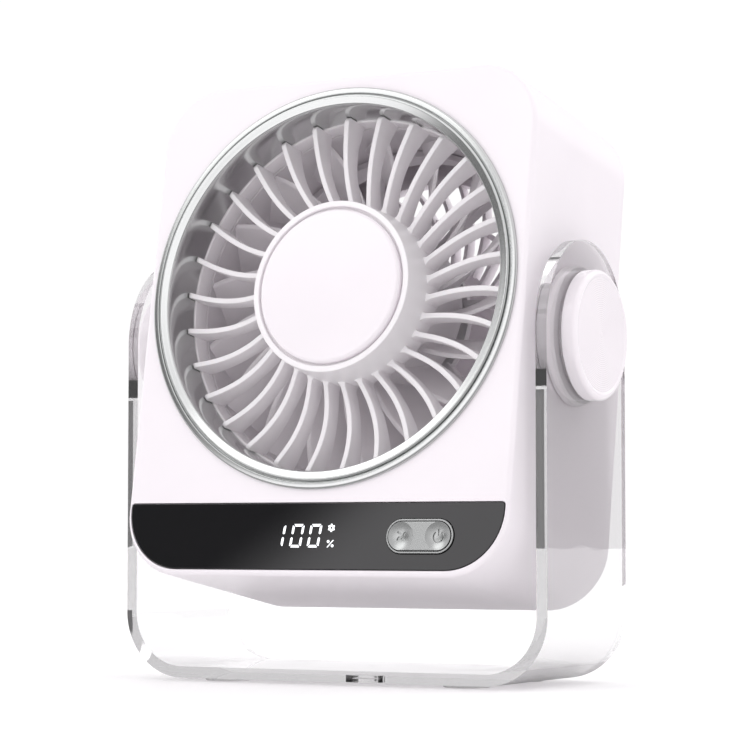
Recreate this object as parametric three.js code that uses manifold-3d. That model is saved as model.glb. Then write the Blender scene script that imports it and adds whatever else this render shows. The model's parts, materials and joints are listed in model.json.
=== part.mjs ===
// Tilting desk-top box fan: a rounded square head with an axial impeller, held by two side pivots
// in a clear U-shaped stand. Millimetres, +Z up, the face looks along -Y.
import * as THREE from 'three';
import { mergeVertices } from 'three/addons/utils/BufferGeometryUtils.js';
import Module from 'manifold-3d';

const wasm = await Module();
wasm.setup();

// ---- Driving dimensions ------------------------------------------------------------------------

const GAP = 0.3; // clearance kept between neighbouring pieces

// Clear stand
const STAND_W = 164.4; // over both arms
const STAND_D = 65; // front to back
const STAND_T = 4; // wall of arms and base
const STAND_BEND_R = 23; // outer radius of the two bottom bends
const FOOT_H = 1; // pads that lift the base off the table
const FOOT_R = 8;
const FOOT_SPACING = { x: 94, y: 42 };
const PIVOT_Z = 118.6; // tilt axis above the table
const ARM_HOLE_R = 18.5;
const GATE_RECESS = { r: 7.5, y: 10, depth: 1.2 }; // moulding gate in the underside of the base

// Head, measured from the tilt axis: y < 0 is the face, z is up along the face
const REST_TILT = THREE.MathUtils.degToRad(9.6); // the stored pose leans back this far
const HEAD_W = 148;
const HEAD_TOP = 88.2;
const HEAD_BOTTOM = -88.3;
const HEAD_CORNER_R = 22;
const FACE_Y = -34;
const BACK_Y = 43;
const SHELL_T = 2.4;
const FACE_T = 3;
const EDGE_R = 1.8; // rounding of the shell's front and back edges
const COVER_T = 3;

// Air path, around an axis parallel to y at height DUCT_Z
const DUCT_Z = 12.5;
const RING_OUTER_R = 71.2;
const RING_SEAT_R = 68.9;
const RING_CREST_R = 66.6; // inner edge of the ring's broad flat crest
const THROAT_R = 64.4;
const THROAT_BACK = 15; // depth behind the face where the ring's tube ends
const BAND_BACK = 22.7; // depth where the grille's carrier band ends
const BAND_OUTER_R = 66.2;
const LINER_INNER_R = 63.6;
const LINER_OUTER_R = 65.6;
const LINER_BACK = 62;

// Grille and impeller
const FIN_COUNT = 30;
const FIN_T = 1.9;
const HUB_R = 30.5;
const HUB_ROOT_R = 31.3;
const HUB_BACK = 19.8;
const CAP_R = 27.9;
const CAP_PROUD = 1.7; // how far the hub cap stands in front of the face
const BLADE_COUNT = 17;
const BLADE_T = 1.9;
const BLADE_TIP_R = 62.6;
const BLADE_FRONT = 22.5;
const BLADE_BACK = 42;
const BLADE_SWEEP_DEG = 17; // lead of the tip over the root
const BLADE_TWIST_DEG = 14; // lead of the back edge over the front edge
const BLADE_PHASE_DEG = 2.4;
const ROTOR_R = 29.5;
const ROTOR_FRONT = 20.2;
const ROTOR_BACK = 43;
const SHAFT_R = 2;

// Rear grille
const REAR_OPENING_R = 60;
const REAR_BOSS_R = 28;
const REAR_SLAT_COUNT = 36;
const REAR_SLAT_T = 1.5;
const REAR_SLAT_DEPTH = 6;
const REAR_HOOP_R = 43;

// Display strip and rocker key, on the face below the ring
const PANEL_TOP = -63;
const PANEL_MARGIN = 1.2; // white border left around the strip
const PANEL_T = 1.4;
const POCKET_DEPTH = 1.8;
const KEY = { x: 42.3, z: -74.7, length: 25, height: 11.6 };
const BEZEL_WALL = 0.6;
const KEY_FRONT = FACE_Y - 0.9;
const KEY_PIVOT_Y = -29.3;
const DISH_R = 4.7;
const DISH_DEPTH = 0.9;
const DISH_OFFSET = 6.9;
const BOARD_Y = -24;
const BOARD_T = 1.6;

// Side pivots
const KNOB_R = 22.2;
const KNOB_FACE_X = 88.1;
const NECK_R = 10;
const PIVOT_SCREW_R = 1.8;

// Battery and charging socket
const CELL_R = 9.2;
const CELL_LENGTH = 65;
const CELL_Z = -73;
const CELL_Y = [-8, 12];
const SOCKET = { x: 48, z: -70, width: 8.9, height: 3.2, depth: 7.4 };

// Screws: centre distances from the duct axis or the head's centre
const COVER_SCREW = { x: 62, z: 76 };
const LINER_SCREW = 50.2;
const POST_R = 3.6;
const SCREW_R = 1.2;

// ---- Materials ---------------------------------------------------------------------------------

function material(color, roughness, metalness = 0, extra = {}) {
  return new THREE.MeshStandardMaterial({ color, roughness, metalness, ...extra });
}

const materials = {
  clear: material('#eef0f2', 0.05, 0, { transparent: true, opacity: 0.35 }),
  shell: material('#f3eef2', 0.42),
  inner: material('#ebe6ea', 0.5),
  satin: material('#b9beba', 0.28, 1),
  key: material('#c3c6c4', 0.3, 1),
  window: material('#1c1c1f', 0.08),
  steel: material('#a3a6aa', 0.32, 1),
  copper: material('#a4592c', 0.4, 1),
  magnet: material('#3a3b3e', 0.6, 0.4),
  board: material('#1d5137', 0.5),
  cell: material('#3f7fae', 0.35),
  black: material('#202124', 0.5),
  led: material('#f6f8fa', 0.4),
};

// ---- Solids ------------------------------------------------------------------------------------

// A closed three.js geometry as a manifold-3d solid, ready to join or cut.
function solid(geometry) {
  const bare = geometry.clone();
  bare.deleteAttribute('normal');
  bare.deleteAttribute('uv');
  const merged = mergeVertices(bare, 1e-4);
  const index = merged.index.array;
  const triangles = [];
  for (let i = 0; i < index.length; i += 3) {
    const [a, b, c] = [index[i], index[i + 1], index[i + 2]];
    if (a !== b && b !== c && c !== a) triangles.push(a, b, c);
  }
  const vertProperties = Float32Array.from(merged.attributes.position.array);
  const triVerts = Uint32Array.from(triangles);
  return new wasm.Manifold(new wasm.Mesh({ numProp: 3, vertProperties, triVerts }));
}

function geometryOf(manifold) {
  const mesh = manifold.getMesh();
  const geometry = new THREE.BufferGeometry();
  geometry.setAttribute('position', new THREE.BufferAttribute(mesh.vertProperties, 3));
  geometry.setIndex(new THREE.BufferAttribute(mesh.triVerts, 1));
  geometry.computeVertexNormals();
  return geometry;
}

const join = (first, ...others) => others.reduce((sum, other) => sum.add(other), first);
const cut = (first, ...others) => others.reduce((rest, other) => rest.subtract(other), first);

function block([x0, x1], [y0, y1], [z0, z1]) {
  const geometry = new THREE.BoxGeometry(x1 - x0, y1 - y0, z1 - z0);
  return solid(geometry.translate((x0 + x1) / 2, (y0 + y1) / 2, (z0 + z1) / 2));
}

function rodY(radius, [y0, y1], x = 0, z = 0, segments = 12) {
  const geometry = new THREE.CylinderGeometry(radius, radius, y1 - y0, segments);
  return solid(geometry.translate(x, (y0 + y1) / 2, z));
}

function rodX(radius, [x0, x1], y = 0, z = 0, segments = 32) {
  const geometry = new THREE.CylinderGeometry(radius, radius, x1 - x0, segments).rotateZ(Math.PI / 2);
  return solid(geometry.translate((x0 + x1) / 2, y, z));
}

function rodZ(radius, [z0, z1], x = 0, y = 0, segments = 24) {
  const geometry = new THREE.CylinderGeometry(radius, radius, z1 - z0, segments).rotateX(Math.PI / 2);
  return solid(geometry.translate(x, y, (z0 + z1) / 2));
}

// A closed (radius, y) profile turned about the y axis. Profiles run anticlockwise.
function turned(profile, segments = 36) {
  const points = profile.map(([radius, y]) => new THREE.Vector2(radius, y));
  const closed = points[0].x === 0 ? points : [...points, points[0]];
  return solid(new THREE.LatheGeometry(closed, segments));
}

function ring(inner, outer, [y0, y1], segments = 36) {
  return turned([[inner, y0], [outer, y0], [outer, y1], [inner, y1]], segments);
}

function arc(cx, cy, radius, fromDeg, toDeg, steps) {
  return Array.from({ length: steps + 1 }, (_, i) => {
    const angle = THREE.MathUtils.degToRad(fromDeg + ((toDeg - fromDeg) * i) / steps);
    return [cx + radius * Math.cos(angle), cy + radius * Math.sin(angle)];
  });
}

// A flat shape with rounded corners; bottom and top corners can differ.
function roundedShape([x0, x1], [z0, z1], lowerR, upperR = lowerR) {
  const shape = new THREE.Shape();
  shape.moveTo(x0 + lowerR, z0);
  shape.lineTo(x1 - lowerR, z0);
  shape.absarc(x1 - lowerR, z0 + lowerR, lowerR, -Math.PI / 2, 0);
  shape.lineTo(x1, z1 - upperR);
  if (upperR > 0) shape.absarc(x1 - upperR, z1 - upperR, upperR, 0, Math.PI / 2);
  shape.lineTo(x0 + upperR, z1);
  if (upperR > 0) shape.absarc(x0 + upperR, z1 - upperR, upperR, Math.PI / 2, Math.PI);
  shape.lineTo(x0, z0 + lowerR);
  shape.absarc(x0 + lowerR, z0 + lowerR, lowerR, Math.PI, Math.PI * 1.5);
  return shape;
}

// A shape drawn in x and z, extruded from y0 to y1, with its edges rounded by `round`.
function plateY(shape, [y0, y1], round = 0, curveSegments = 6) {
  const geometry = new THREE.ExtrudeGeometry(shape, {
    depth: y1 - y0 - 2 * round,
    curveSegments,
    bevelEnabled: round > 0,
    bevelThickness: round,
    bevelSize: round,
    bevelOffset: -round,
    bevelSegments: 2,
  });
  return solid(geometry.rotateX(Math.PI / 2).translate(0, y1 - round, 0));
}

function pill(x, z, length, height) {
  const shape = new THREE.Shape();
  const reach = (length - height) / 2;
  shape.absarc(x + reach, z, height / 2, -Math.PI / 2, Math.PI / 2);
  shape.absarc(x - reach, z, height / 2, Math.PI / 2, Math.PI * 1.5);
  return shape;
}

// Places a finished solid in the scene graph as a named mesh.
function place(parent, name, manifold, surface, [x, y, z] = [0, 0, 0]) {
  const mesh = new THREE.Mesh(geometryOf(manifold), surface);
  mesh.name = name;
  mesh.position.set(x, y, z);
  parent.add(mesh);
  return mesh;
}

// ---- Stand -------------------------------------------------------------------------------------

function standYoke() {
  const half = STAND_W / 2;
  const top = PIVOT_Z + STAND_D / 2;
  const innerR = STAND_BEND_R - STAND_T;
  const floor = FOOT_H + STAND_T;
  const outer = roundedShape([-half, half], [FOOT_H, top], STAND_BEND_R, 0);
  const hollow = roundedShape([STAND_T - half, half - STAND_T], [floor, top + 1], innerR, 0);
  const side = new THREE.Shape();
  side.moveTo(-STAND_D / 2, 0);
  side.lineTo(STAND_D / 2, 0);
  side.lineTo(STAND_D / 2, PIVOT_Z);
  side.absarc(0, PIVOT_Z, STAND_D / 2, 0, Math.PI);
  const archGeometry = new THREE.ExtrudeGeometry(side, {
    depth: STAND_W,
    curveSegments: 20,
    bevelEnabled: false,
  });
  archGeometry.rotateX(Math.PI / 2).rotateZ(Math.PI / 2).translate(-half, 0, 0);
  const bent = cut(plateY(outer, [-STAND_D / 2, STAND_D / 2]), plateY(hollow, [-STAND_D, STAND_D]));
  const arched = bent.intersect(solid(archGeometry));
  const gateTop = FOOT_H + GATE_RECESS.depth;
  return cut(
    arched,
    rodX(ARM_HOLE_R, [-half - 1, half + 1], 0, PIVOT_Z, 48),
    rodZ(GATE_RECESS.r, [FOOT_H - 1, gateTop], 0, GATE_RECESS.y),
  );
}

function addStand(parent) {
  place(parent, 'stand_yoke', standYoke(), materials.clear);
  for (const [depthName, sy] of [['front', -1], ['rear', 1]]) {
    for (const [sideName, sx] of [['left', -1], ['right', 1]]) {
      const pad = rodZ(FOOT_R, [0, FOOT_H - 0.02], 0, 0, 16);
      const at = [(sx * FOOT_SPACING.x) / 2, (sy * FOOT_SPACING.y) / 2, 0];
      place(parent, `foot_pad_${depthName}_${sideName}`, pad, materials.clear, at);
    }
  }
}

// ---- Head shells -------------------------------------------------------------------------------

const headShape = (inset) =>
  roundedShape(
    [inset - HEAD_W / 2, HEAD_W / 2 - inset],
    [HEAD_BOTTOM + inset, HEAD_TOP - inset],
    HEAD_CORNER_R - inset,
  );

const panelShape = (inset) =>
  roundedShape(
    [PANEL_MARGIN + inset - HEAD_W / 2, HEAD_W / 2 - PANEL_MARGIN - inset],
    [HEAD_BOTTOM + 2 + inset, PANEL_TOP - inset],
    HEAD_CORNER_R - PANEL_MARGIN - inset,
    0,
  );

const corners = [[-1, 1], [1, 1], [1, -1], [-1, -1]];
const coverScrewPlaces = corners.map(([sx, sz]) => [sx * COVER_SCREW.x, sz * COVER_SCREW.z]);
const linerScrewPlaces = corners.map(([sx, sz]) => [sx * LINER_SCREW, DUCT_Z + sz * LINER_SCREW]);
const LINER_EAR = [BAND_BACK + 0.3 + FACE_Y, BAND_BACK + 3.3 + FACE_Y];

function frontShell() {
  const outer = plateY(headShape(0), [FACE_Y, BACK_Y], EDGE_R, 6);
  const cavity = plateY(headShape(SHELL_T), [FACE_Y + FACE_T, BACK_Y + 1], 0, 6);
  const pocket = plateY(panelShape(0), [FACE_Y - 1, FACE_Y + POCKET_DEPTH], 0, 8);
  const coverPosts = coverScrewPlaces.map(([x, z]) =>
    rodY(POST_R, [FACE_Y + FACE_T - 0.2, BACK_Y - COVER_T - 2 * GAP], x, z, 8));
  const linerPosts = linerScrewPlaces.map(([x, z]) =>
    rodY(POST_R, [FACE_Y + FACE_T - 0.2, LINER_EAR[0] - GAP], x, z, 8));
  const pilots = [...coverScrewPlaces, ...linerScrewPlaces].map(([x, z]) =>
    rodY(SCREW_R + GAP, [FACE_Y + FACE_T + 3, BACK_Y], x, z, 6));
  const keyHole = pill(KEY.x, KEY.z, KEY.length + 2 * GAP, KEY.height + 2 * GAP);
  return cut(
    join(cut(outer, cavity), ...coverPosts, ...linerPosts),
    pocket,
    rodY(RING_SEAT_R, [FACE_Y - 1, FACE_Y + FACE_T + 1], 0, DUCT_Z, 72),
    plateY(keyHole, [FACE_Y, FACE_Y + FACE_T + 1]),
    block([-13.3, 13.3], [FACE_Y, FACE_Y + FACE_T + 1], [-80.8, -68.2]),
    rodX(NECK_R + GAP, [-HEAD_W, HEAD_W]),
    ...pilots,
  );
}

function backCover() {
  const plate = plateY(headShape(SHELL_T + GAP), [BACK_Y - COVER_T - GAP, BACK_Y - GAP], 0, 8);
  const countersinks = coverScrewPlaces.flatMap(([x, z]) => [
    rodY(SCREW_R + GAP, [BACK_Y - 6, BACK_Y + 1], x, z, 8),
    rodY(2.6 + GAP, [BACK_Y - GAP - 1.6, BACK_Y + 1], x, z),
  ]);
  const socketShape = pill(SOCKET.x, SOCKET.z, SOCKET.width + 2 * GAP, SOCKET.height + 2 * GAP);
  return cut(
    plate,
    rodY(REAR_OPENING_R, [BACK_Y - 6, BACK_Y + 1], 0, DUCT_Z, 60),
    plateY(socketShape, [BACK_Y - 6, BACK_Y + 1]),
    rodY(SCREW_R + GAP, [BACK_Y - 6, BACK_Y + 1], SOCKET.x - 12, SOCKET.z),
    ...countersinks,
  );
}

// ---- Air path ----------------------------------------------------------------------------------

const depth = (behindFace) => FACE_Y + behindFace;

// Bell-mouth ring: thin lip on the face, groove, crest, then a throat tube going in.
function trimRing() {
  const mouthLength = 8.3;
  const mouth = Array.from({ length: 7 }, (_, i) => {
    const angle = (Math.PI / 2) * (1 - i / 6);
    const radius = THROAT_R + (RING_CREST_R - THROAT_R) * (1 - Math.sin(angle));
    return [radius, depth(mouthLength * (1 - Math.cos(angle)) - 1.8)];
  });
  return turned([
    [THROAT_R, depth(THROAT_BACK)],
    ...mouth,
    [68.2, depth(-1.8)],
    [68.7, depth(-0.8)],
    [69.3, depth(-1.2)],
    [70.7, depth(-1.3)],
    [RING_OUTER_R, depth(-0.9)],
    [RING_OUTER_R, depth(-GAP)],
    [68.5, depth(-GAP)],
    [68.5, depth(2.6)],
    [BAND_OUTER_R, depth(4.8)],
    [BAND_OUTER_R, depth(THROAT_BACK)],
  ], 60);
}

const finAngle = (r) => {
  const s = (r - 48) / 16;
  return THREE.MathUtils.degToRad(12.2 - 3.2 * s ** 2 + 1.1 * s ** 3);
};
const finFront = (r) => depth(12.6 - 3.2 * ((r - 42) / 22) ** 2);
const finBack = (r) => depth(19.3 + 2.2 * ((r - 46) / 18) ** 2);

// A curved vane standing on the radial direction: `angle`, `front` and `back` give its middle line,
// front edge and back edge at each radius, and `twist` turns the back edge against the front one.
function vane({ fromR, toR, steps, thickness, angle, front, back, twist = 0 }) {
  const positions = [];
  const index = [];
  for (let i = 0; i <= steps; i += 1) {
    const r = fromR + ((toR - fromR) * i) / steps;
    const halfAngle = thickness / 2 / r;
    for (const [y, turn] of [[front(r), 0], [back(r), twist]]) {
      for (const side of [-1, 1]) {
        const a = angle(r) + turn + side * halfAngle;
        positions.push(r * Math.cos(a), y, r * Math.sin(a));
      }
    }
  }
  const quad = (a, b, c, d) => index.push(a, c, b, a, d, c);
  for (let i = 0; i < steps; i += 1) {
    const [p, q] = [4 * i, 4 * i + 4];
    quad(p, p + 1, q + 1, q);
    quad(p + 1, p + 3, q + 3, q + 1);
    quad(p + 3, p + 2, q + 2, q + 3);
    quad(p + 2, p, q, q + 2);
  }
  const end = 4 * steps;
  quad(0, 2, 3, 1);
  quad(end, end + 1, end + 3, end + 2);
  const geometry = new THREE.BufferGeometry();
  geometry.setAttribute('position', new THREE.Float32BufferAttribute(positions, 3));
  geometry.setIndex(index);
  return geometry;
}

// Copies of one vane, evenly spaced about the y axis.
function vanes(count, phaseDeg, options) {
  return Array.from({ length: count }, (_, i) => {
    const turn = THREE.MathUtils.degToRad(phaseDeg + (360 / count) * i);
    return solid(vane(options).rotateY(-turn));
  });
}

function frontGrille() {
  const drum = turned([
    [0, depth(1.4)],
    [CAP_R + 0.5, depth(1.4)],
    [CAP_R + 0.5, depth(-0.3)],
    [HUB_R - 0.5, depth(-0.5)],
    [HUB_R, depth(0)],
    [HUB_ROOT_R, depth(12)],
    [HUB_ROOT_R, depth(HUB_BACK)],
    [HUB_ROOT_R - 2, depth(HUB_BACK)],
    [HUB_ROOT_R - 2, depth(3.6)],
    [0, depth(3.6)],
  ], 48);
  const band = ring(THROAT_R - 0.5, BAND_OUTER_R, [depth(THROAT_BACK + GAP), depth(BAND_BACK)], 48);
  const fins = vanes(FIN_COUNT, 0, {
    fromR: HUB_R - 0.2,
    toR: THROAT_R - GAP,
    steps: 5,
    thickness: FIN_T,
    angle: finAngle,
    front: finFront,
    back: finBack,
  });
  return join(drum, band, ...fins);
}

function hubCap() {
  return turned([
    [0, depth(-CAP_PROUD)],
    [CAP_R - 0.7, depth(-CAP_PROUD)],
    [CAP_R - 0.2, depth(-CAP_PROUD + 0.2)],
    [CAP_R, depth(-CAP_PROUD + 0.7)],
    [CAP_R, depth(1.1)],
    [0, depth(1.1)],
  ], 48);
}

function ductLiner() {
  const tube = ring(LINER_INNER_R, LINER_OUTER_R, [LINER_EAR[0], depth(LINER_BACK)], 48);
  const past = [LINER_EAR[0] - 1, LINER_EAR[1] + 1];
  const ears = corners.map(([sx, sz]) => {
    const tip = rodY(POST_R, LINER_EAR, sx * LINER_SCREW, sz * LINER_SCREW);
    const web = new THREE.BoxGeometry(7, LINER_EAR[1] - LINER_EAR[0], 6);
    web.translate(LINER_OUTER_R + 2.2, (LINER_EAR[0] + LINER_EAR[1]) / 2, 0);
    return tip.add(solid(web.rotateY(-Math.atan2(sz, sx))));
  });
  const holes = corners.map(([sx, sz]) =>
    rodY(SCREW_R + GAP, past, sx * LINER_SCREW, sz * LINER_SCREW, 10));
  return cut(join(tube, ...ears), rodY(LINER_INNER_R, past, 0, 0, 48), ...holes);
}

function impeller() {
  const cup = turned([
    [0, depth(ROTOR_FRONT)],
    [ROTOR_R - 1.5, depth(ROTOR_FRONT)],
    [ROTOR_R, depth(ROTOR_FRONT + 1.5)],
    [ROTOR_R, depth(ROTOR_BACK)],
    [ROTOR_R - 2, depth(ROTOR_BACK)],
    [ROTOR_R - 2, depth(ROTOR_FRONT + 2.4)],
    [5, depth(ROTOR_FRONT + 2.4)],
    [5, depth(ROTOR_FRONT + 7)],
    [0, depth(ROTOR_FRONT + 7)],
  ], 36);
  const sweep = THREE.MathUtils.degToRad(BLADE_SWEEP_DEG);
  const span = (r) => (r - ROTOR_R) / (BLADE_TIP_R - ROTOR_R);
  const blades = vanes(BLADE_COUNT, BLADE_PHASE_DEG, {
    fromR: ROTOR_R - 0.8,
    toR: BLADE_TIP_R,
    steps: 3,
    thickness: BLADE_T,
    angle: (r) => sweep * (span(r) - 1),
    front: (r) => depth(BLADE_FRONT + 1.2 * (1 - span(r))),
    back: (r) => depth(BLADE_BACK - 3 * span(r)),
    twist: THREE.MathUtils.degToRad(BLADE_TWIST_DEG),
  });
  const bore = rodY(SHAFT_R + GAP, [depth(ROTOR_FRONT + 2.4), depth(ROTOR_FRONT + 9)], 0, 0);
  return cut(join(cup, ...blades), bore);
}

// ---- Motor -------------------------------------------------------------------------------------

const STATOR = [depth(28), depth(38)];

function statorTeeth(extra) {
  const teeth = Array.from({ length: 9 }, (_, i) => {
    const neck = new THREE.BoxGeometry(12, STATOR[1] - STATOR[0] + 2 * extra, 3 + 2 * extra);
    neck.translate(15.5, (STATOR[0] + STATOR[1]) / 2, 0);
    return solid(neck.rotateY((i * 2 * Math.PI) / 9));
  });
  return join(...teeth);
}

function statorCore() {
  const hub = ring(8, 10.5, STATOR, 18);
  const shoes = cut(ring(20.5, 22.4, STATOR, 27), ...Array.from({ length: 9 }, (_, i) => {
    const slot = new THREE.BoxGeometry(6, 14, 2.2).translate(21.5, (STATOR[0] + STATOR[1]) / 2, 0);
    return solid(slot.rotateY(((i + 0.5) * 2 * Math.PI) / 9));
  }));
  return join(hub, shoes, statorTeeth(0));
}

function statorWinding() {
  const coils = Array.from({ length: 9 }, (_, i) => {
    const coil = new THREE.BoxGeometry(8.4, 13, 6.2).translate(15.9, (STATOR[0] + STATOR[1]) / 2, 0);
    return solid(coil.rotateY((i * 2 * Math.PI) / 9));
  });
  const links = ring(12, 14, [STATOR[1] + 0.5, STATOR[1] + 1.5], 24);
  return cut(join(links, ...coils), statorTeeth(GAP));
}

function motorMount() {
  const sleeve = ring(6.3, 7.7, [depth(28), depth(56)], 24);
  const plate = ring(6.3, 27, [depth(53), depth(56)], 36);
  const rim = ring(61.3, LINER_INNER_R - GAP, [depth(50), depth(LINER_BACK - 2)], 48);
  const struts = vanes(7, 12, {
    fromR: 26.5,
    toR: 62,
    steps: 2,
    thickness: 2.4,
    angle: (r) => -0.006 * (r - 26),
    front: () => depth(50.5),
    back: () => depth(56),
  });
  return join(sleeve, plate, rim, ...struts);
}

function rearGrille() {
  const back = [BACK_Y - GAP - REAR_SLAT_DEPTH, BACK_Y - GAP];
  const rim = ring(REAR_OPENING_R - 3, REAR_OPENING_R - GAP, back, 48);
  const hub = rodY(REAR_BOSS_R, [BACK_Y - GAP - 3, BACK_Y - GAP], 0, 0, 36);
  const hoop = ring(REAR_HOOP_R - 1, REAR_HOOP_R + 1, [BACK_Y - GAP - 3, BACK_Y - GAP], 48);
  const slats = vanes(REAR_SLAT_COUNT, 0, {
    fromR: REAR_BOSS_R - 0.5,
    toR: REAR_OPENING_R - 2,
    steps: 2,
    thickness: REAR_SLAT_T,
    angle: (r) => 0.012 * (r - REAR_BOSS_R),
    front: () => back[0],
    back: () => back[1],
  });
  return join(rim, hub, hoop, ...slats);
}

function addMotor(parent, at) {
  const shaft = rodY(SHAFT_R, [depth(ROTOR_FRONT + 2.7), depth(57)], 0, 0, 16);
  place(parent, 'motor_shaft', shaft, materials.steel, at);
  place(parent, 'rotor_flux_ring', ring(25.2, 27.2, [depth(25), depth(42)]), materials.steel, at);
  place(parent, 'rotor_magnet_ring', ring(22.9, 24.9, [depth(26), depth(40)]), materials.magnet, at);
  place(parent, 'stator_core', statorCore(), materials.steel, at);
  place(parent, 'stator_winding', statorWinding(), materials.copper, at);
  for (const [name, from] of [['front', 29], ['rear', 50]]) {
    const race = ring(SHAFT_R + 0.05, 6, [depth(from), depth(from + 4)], 16);
    place(parent, `shaft_bearing_${name}`, race, materials.steel, at);
  }
  place(parent, 'motor_board', ring(8, 22, [depth(43.5), depth(44.7)]), materials.board, at);
  place(parent, 'motor_mount', motorMount(), materials.inner, at);
}

// ---- Display strip and key ---------------------------------------------------------------------

function displayWindow() {
  const sheet = plateY(panelShape(GAP), [FACE_Y + 0.1, FACE_Y + 0.1 + PANEL_T], 0, 8);
  const hole = pill(KEY.x, KEY.z, KEY.length + 2 * GAP, KEY.height + 2 * GAP);
  return cut(sheet, plateY(hole, [FACE_Y - 1, FACE_Y + 3]));
}

const keyLength = KEY.length - 2 * (BEZEL_WALL + GAP);
const keyHeight = KEY.height - 2 * (BEZEL_WALL + GAP);
const PIN_R = 0.8;
const flangeY = [FACE_Y + FACE_T + GAP, FACE_Y + FACE_T + 1.3];

function keyBezel() {
  const tube = plateY(pill(KEY.x, KEY.z, KEY.length, KEY.height), [FACE_Y - 0.5, flangeY[1]]);
  const flange = plateY(pill(KEY.x, KEY.z, KEY.length + 3, KEY.height + 3), flangeY);
  const bore = pill(KEY.x, KEY.z, KEY.length - 2 * BEZEL_WALL, KEY.height - 2 * BEZEL_WALL);
  const frame = cut(join(tube, flange), plateY(bore, [FACE_Y - 2, FACE_Y + 8]));
  const ears = [-1, 1].map((side) => {
    const z = KEY.z + side * (keyHeight / 2 + GAP + 0.9);
    return block([KEY.x - 2.2, KEY.x + 2.2], [flangeY[1] - 0.2, KEY_PIVOT_Y + 2], [z - 0.9, z + 0.9]);
  });
  return cut(join(frame, ...ears), rodZ(PIN_R + GAP, [KEY.z - 8, KEY.z + 8], KEY.x, KEY_PIVOT_Y, 12));
}

function rockerKey() {
  const cap = plateY(pill(KEY.x, KEY.z, keyLength, keyHeight), [KEY_FRONT, FACE_Y + 2.2], 0.4);
  const lug = block(
    [KEY.x - 2.2, KEY.x + 2.2],
    [FACE_Y + 2, KEY_PIVOT_Y + 1.9],
    [KEY.z - keyHeight / 2 + 1, KEY.z + keyHeight / 2 - 1],
  );
  const plungers = [-1, 1].map((side) =>
    rodY(1.5, [FACE_Y + 2, BOARD_Y - 4.1], KEY.x + side * 8, KEY.z));
  const sphereR = (DISH_R ** 2 + DISH_DEPTH ** 2) / (2 * DISH_DEPTH);
  const dishes = [-1, 1].map((side) => {
    const ball = new THREE.SphereGeometry(sphereR, 32, 32).rotateX(Math.PI / 2);
    return solid(ball.translate(KEY.x + side * DISH_OFFSET, KEY_FRONT + DISH_DEPTH - sphereR, KEY.z));
  });
  return cut(
    join(cap, lug, ...plungers),
    rodZ(PIN_R + GAP, [KEY.z - 8, KEY.z + 8], KEY.x, KEY_PIVOT_Y, 12),
    ...dishes,
  );
}

function addControls(parent) {
  place(parent, 'display_window', displayWindow(), materials.window);
  place(parent, 'key_bezel', keyBezel(), materials.key);
  place(parent, 'rocker_key', rockerKey(), materials.key);
  const pinReach = keyHeight / 2 + 1.6;
  const pin = rodZ(PIN_R, [KEY.z - pinReach, KEY.z + pinReach], KEY.x, KEY_PIVOT_Y, 12);
  place(parent, 'rocker_pin', pin, materials.steel);
  const ledBlock = block([-13, 13], [FACE_Y + 2.1, BOARD_Y - GAP], [-80.5, -68.5]);
  place(parent, 'led_display', ledBlock, materials.led);
  const boardShape = roundedShape([-56, 56], [-83.5, -66], 3);
  place(parent, 'control_board', plateY(boardShape, [BOARD_Y, BOARD_Y + BOARD_T]), materials.board);
  for (const [name, side] of [['speed', -1], ['power', 1]]) {
    const x = KEY.x + side * 8;
    const body = block([x - 3, x + 3], [BOARD_Y - 3, BOARD_Y - GAP], [KEY.z - 3, KEY.z + 3]);
    const button = rodY(1.6, [BOARD_Y - 3.6, BOARD_Y - 2.5], x, KEY.z);
    place(parent, `tact_switch_${name}`, body.add(button), materials.black);
  }
}

// ---- Battery and charging ----------------------------------------------------------------------

function batteryTray() {
  const z0 = HEAD_BOTTOM + SHELL_T + GAP;
  const outer = block([-36.5, 36.5], [CELL_Y[0] - CELL_R - 2, CELL_Y[1] + CELL_R + 2], [z0, CELL_Z]);
  const troughs = CELL_Y.map((y) => rodX(CELL_R + GAP, [-34, 34], y, CELL_Z, 24));
  return cut(outer, ...troughs);
}

function addPower(parent) {
  place(parent, 'battery_tray', batteryTray(), materials.black);
  CELL_Y.forEach((y, i) => {
    const cell = rodX(CELL_R, [-CELL_LENGTH / 2, CELL_LENGTH / 2], y, CELL_Z, 24);
    place(parent, `battery_cell_${i + 1}`, cell, materials.cell);
  });
  const { x, z, width, height, depth: length } = SOCKET;
  const mouthY = BACK_Y - 1;
  const can = plateY(pill(x, z, width, height), [mouthY - length, mouthY]);
  const bore = plateY(pill(x, z, width - 0.6, height - 0.6), [mouthY - length + 0.6, mouthY + 1]);
  place(parent, 'usb_socket', cut(can, bore), materials.steel);
  const tongue = block([x - 3.35, x + 3.35], [mouthY - length + 0.9, mouthY - 1], [z - 0.35, z + 0.35]);
  place(parent, 'usb_tongue', tongue, materials.black);
  const boardZ = z - height / 2 - GAP;
  const board = block([x - 15, x + 9], [25, BACK_Y - COVER_T - 2 * GAP], [boardZ - 1.6, boardZ]);
  place(parent, 'charging_board', board, materials.board);
  const pipe = rodY(1.2, [BACK_Y - 8, BACK_Y - GAP], x - 12, z);
  place(parent, 'charge_light_pipe', pipe, materials.clear);
}

// ---- Side pivots and screws --------------------------------------------------------------------

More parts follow.
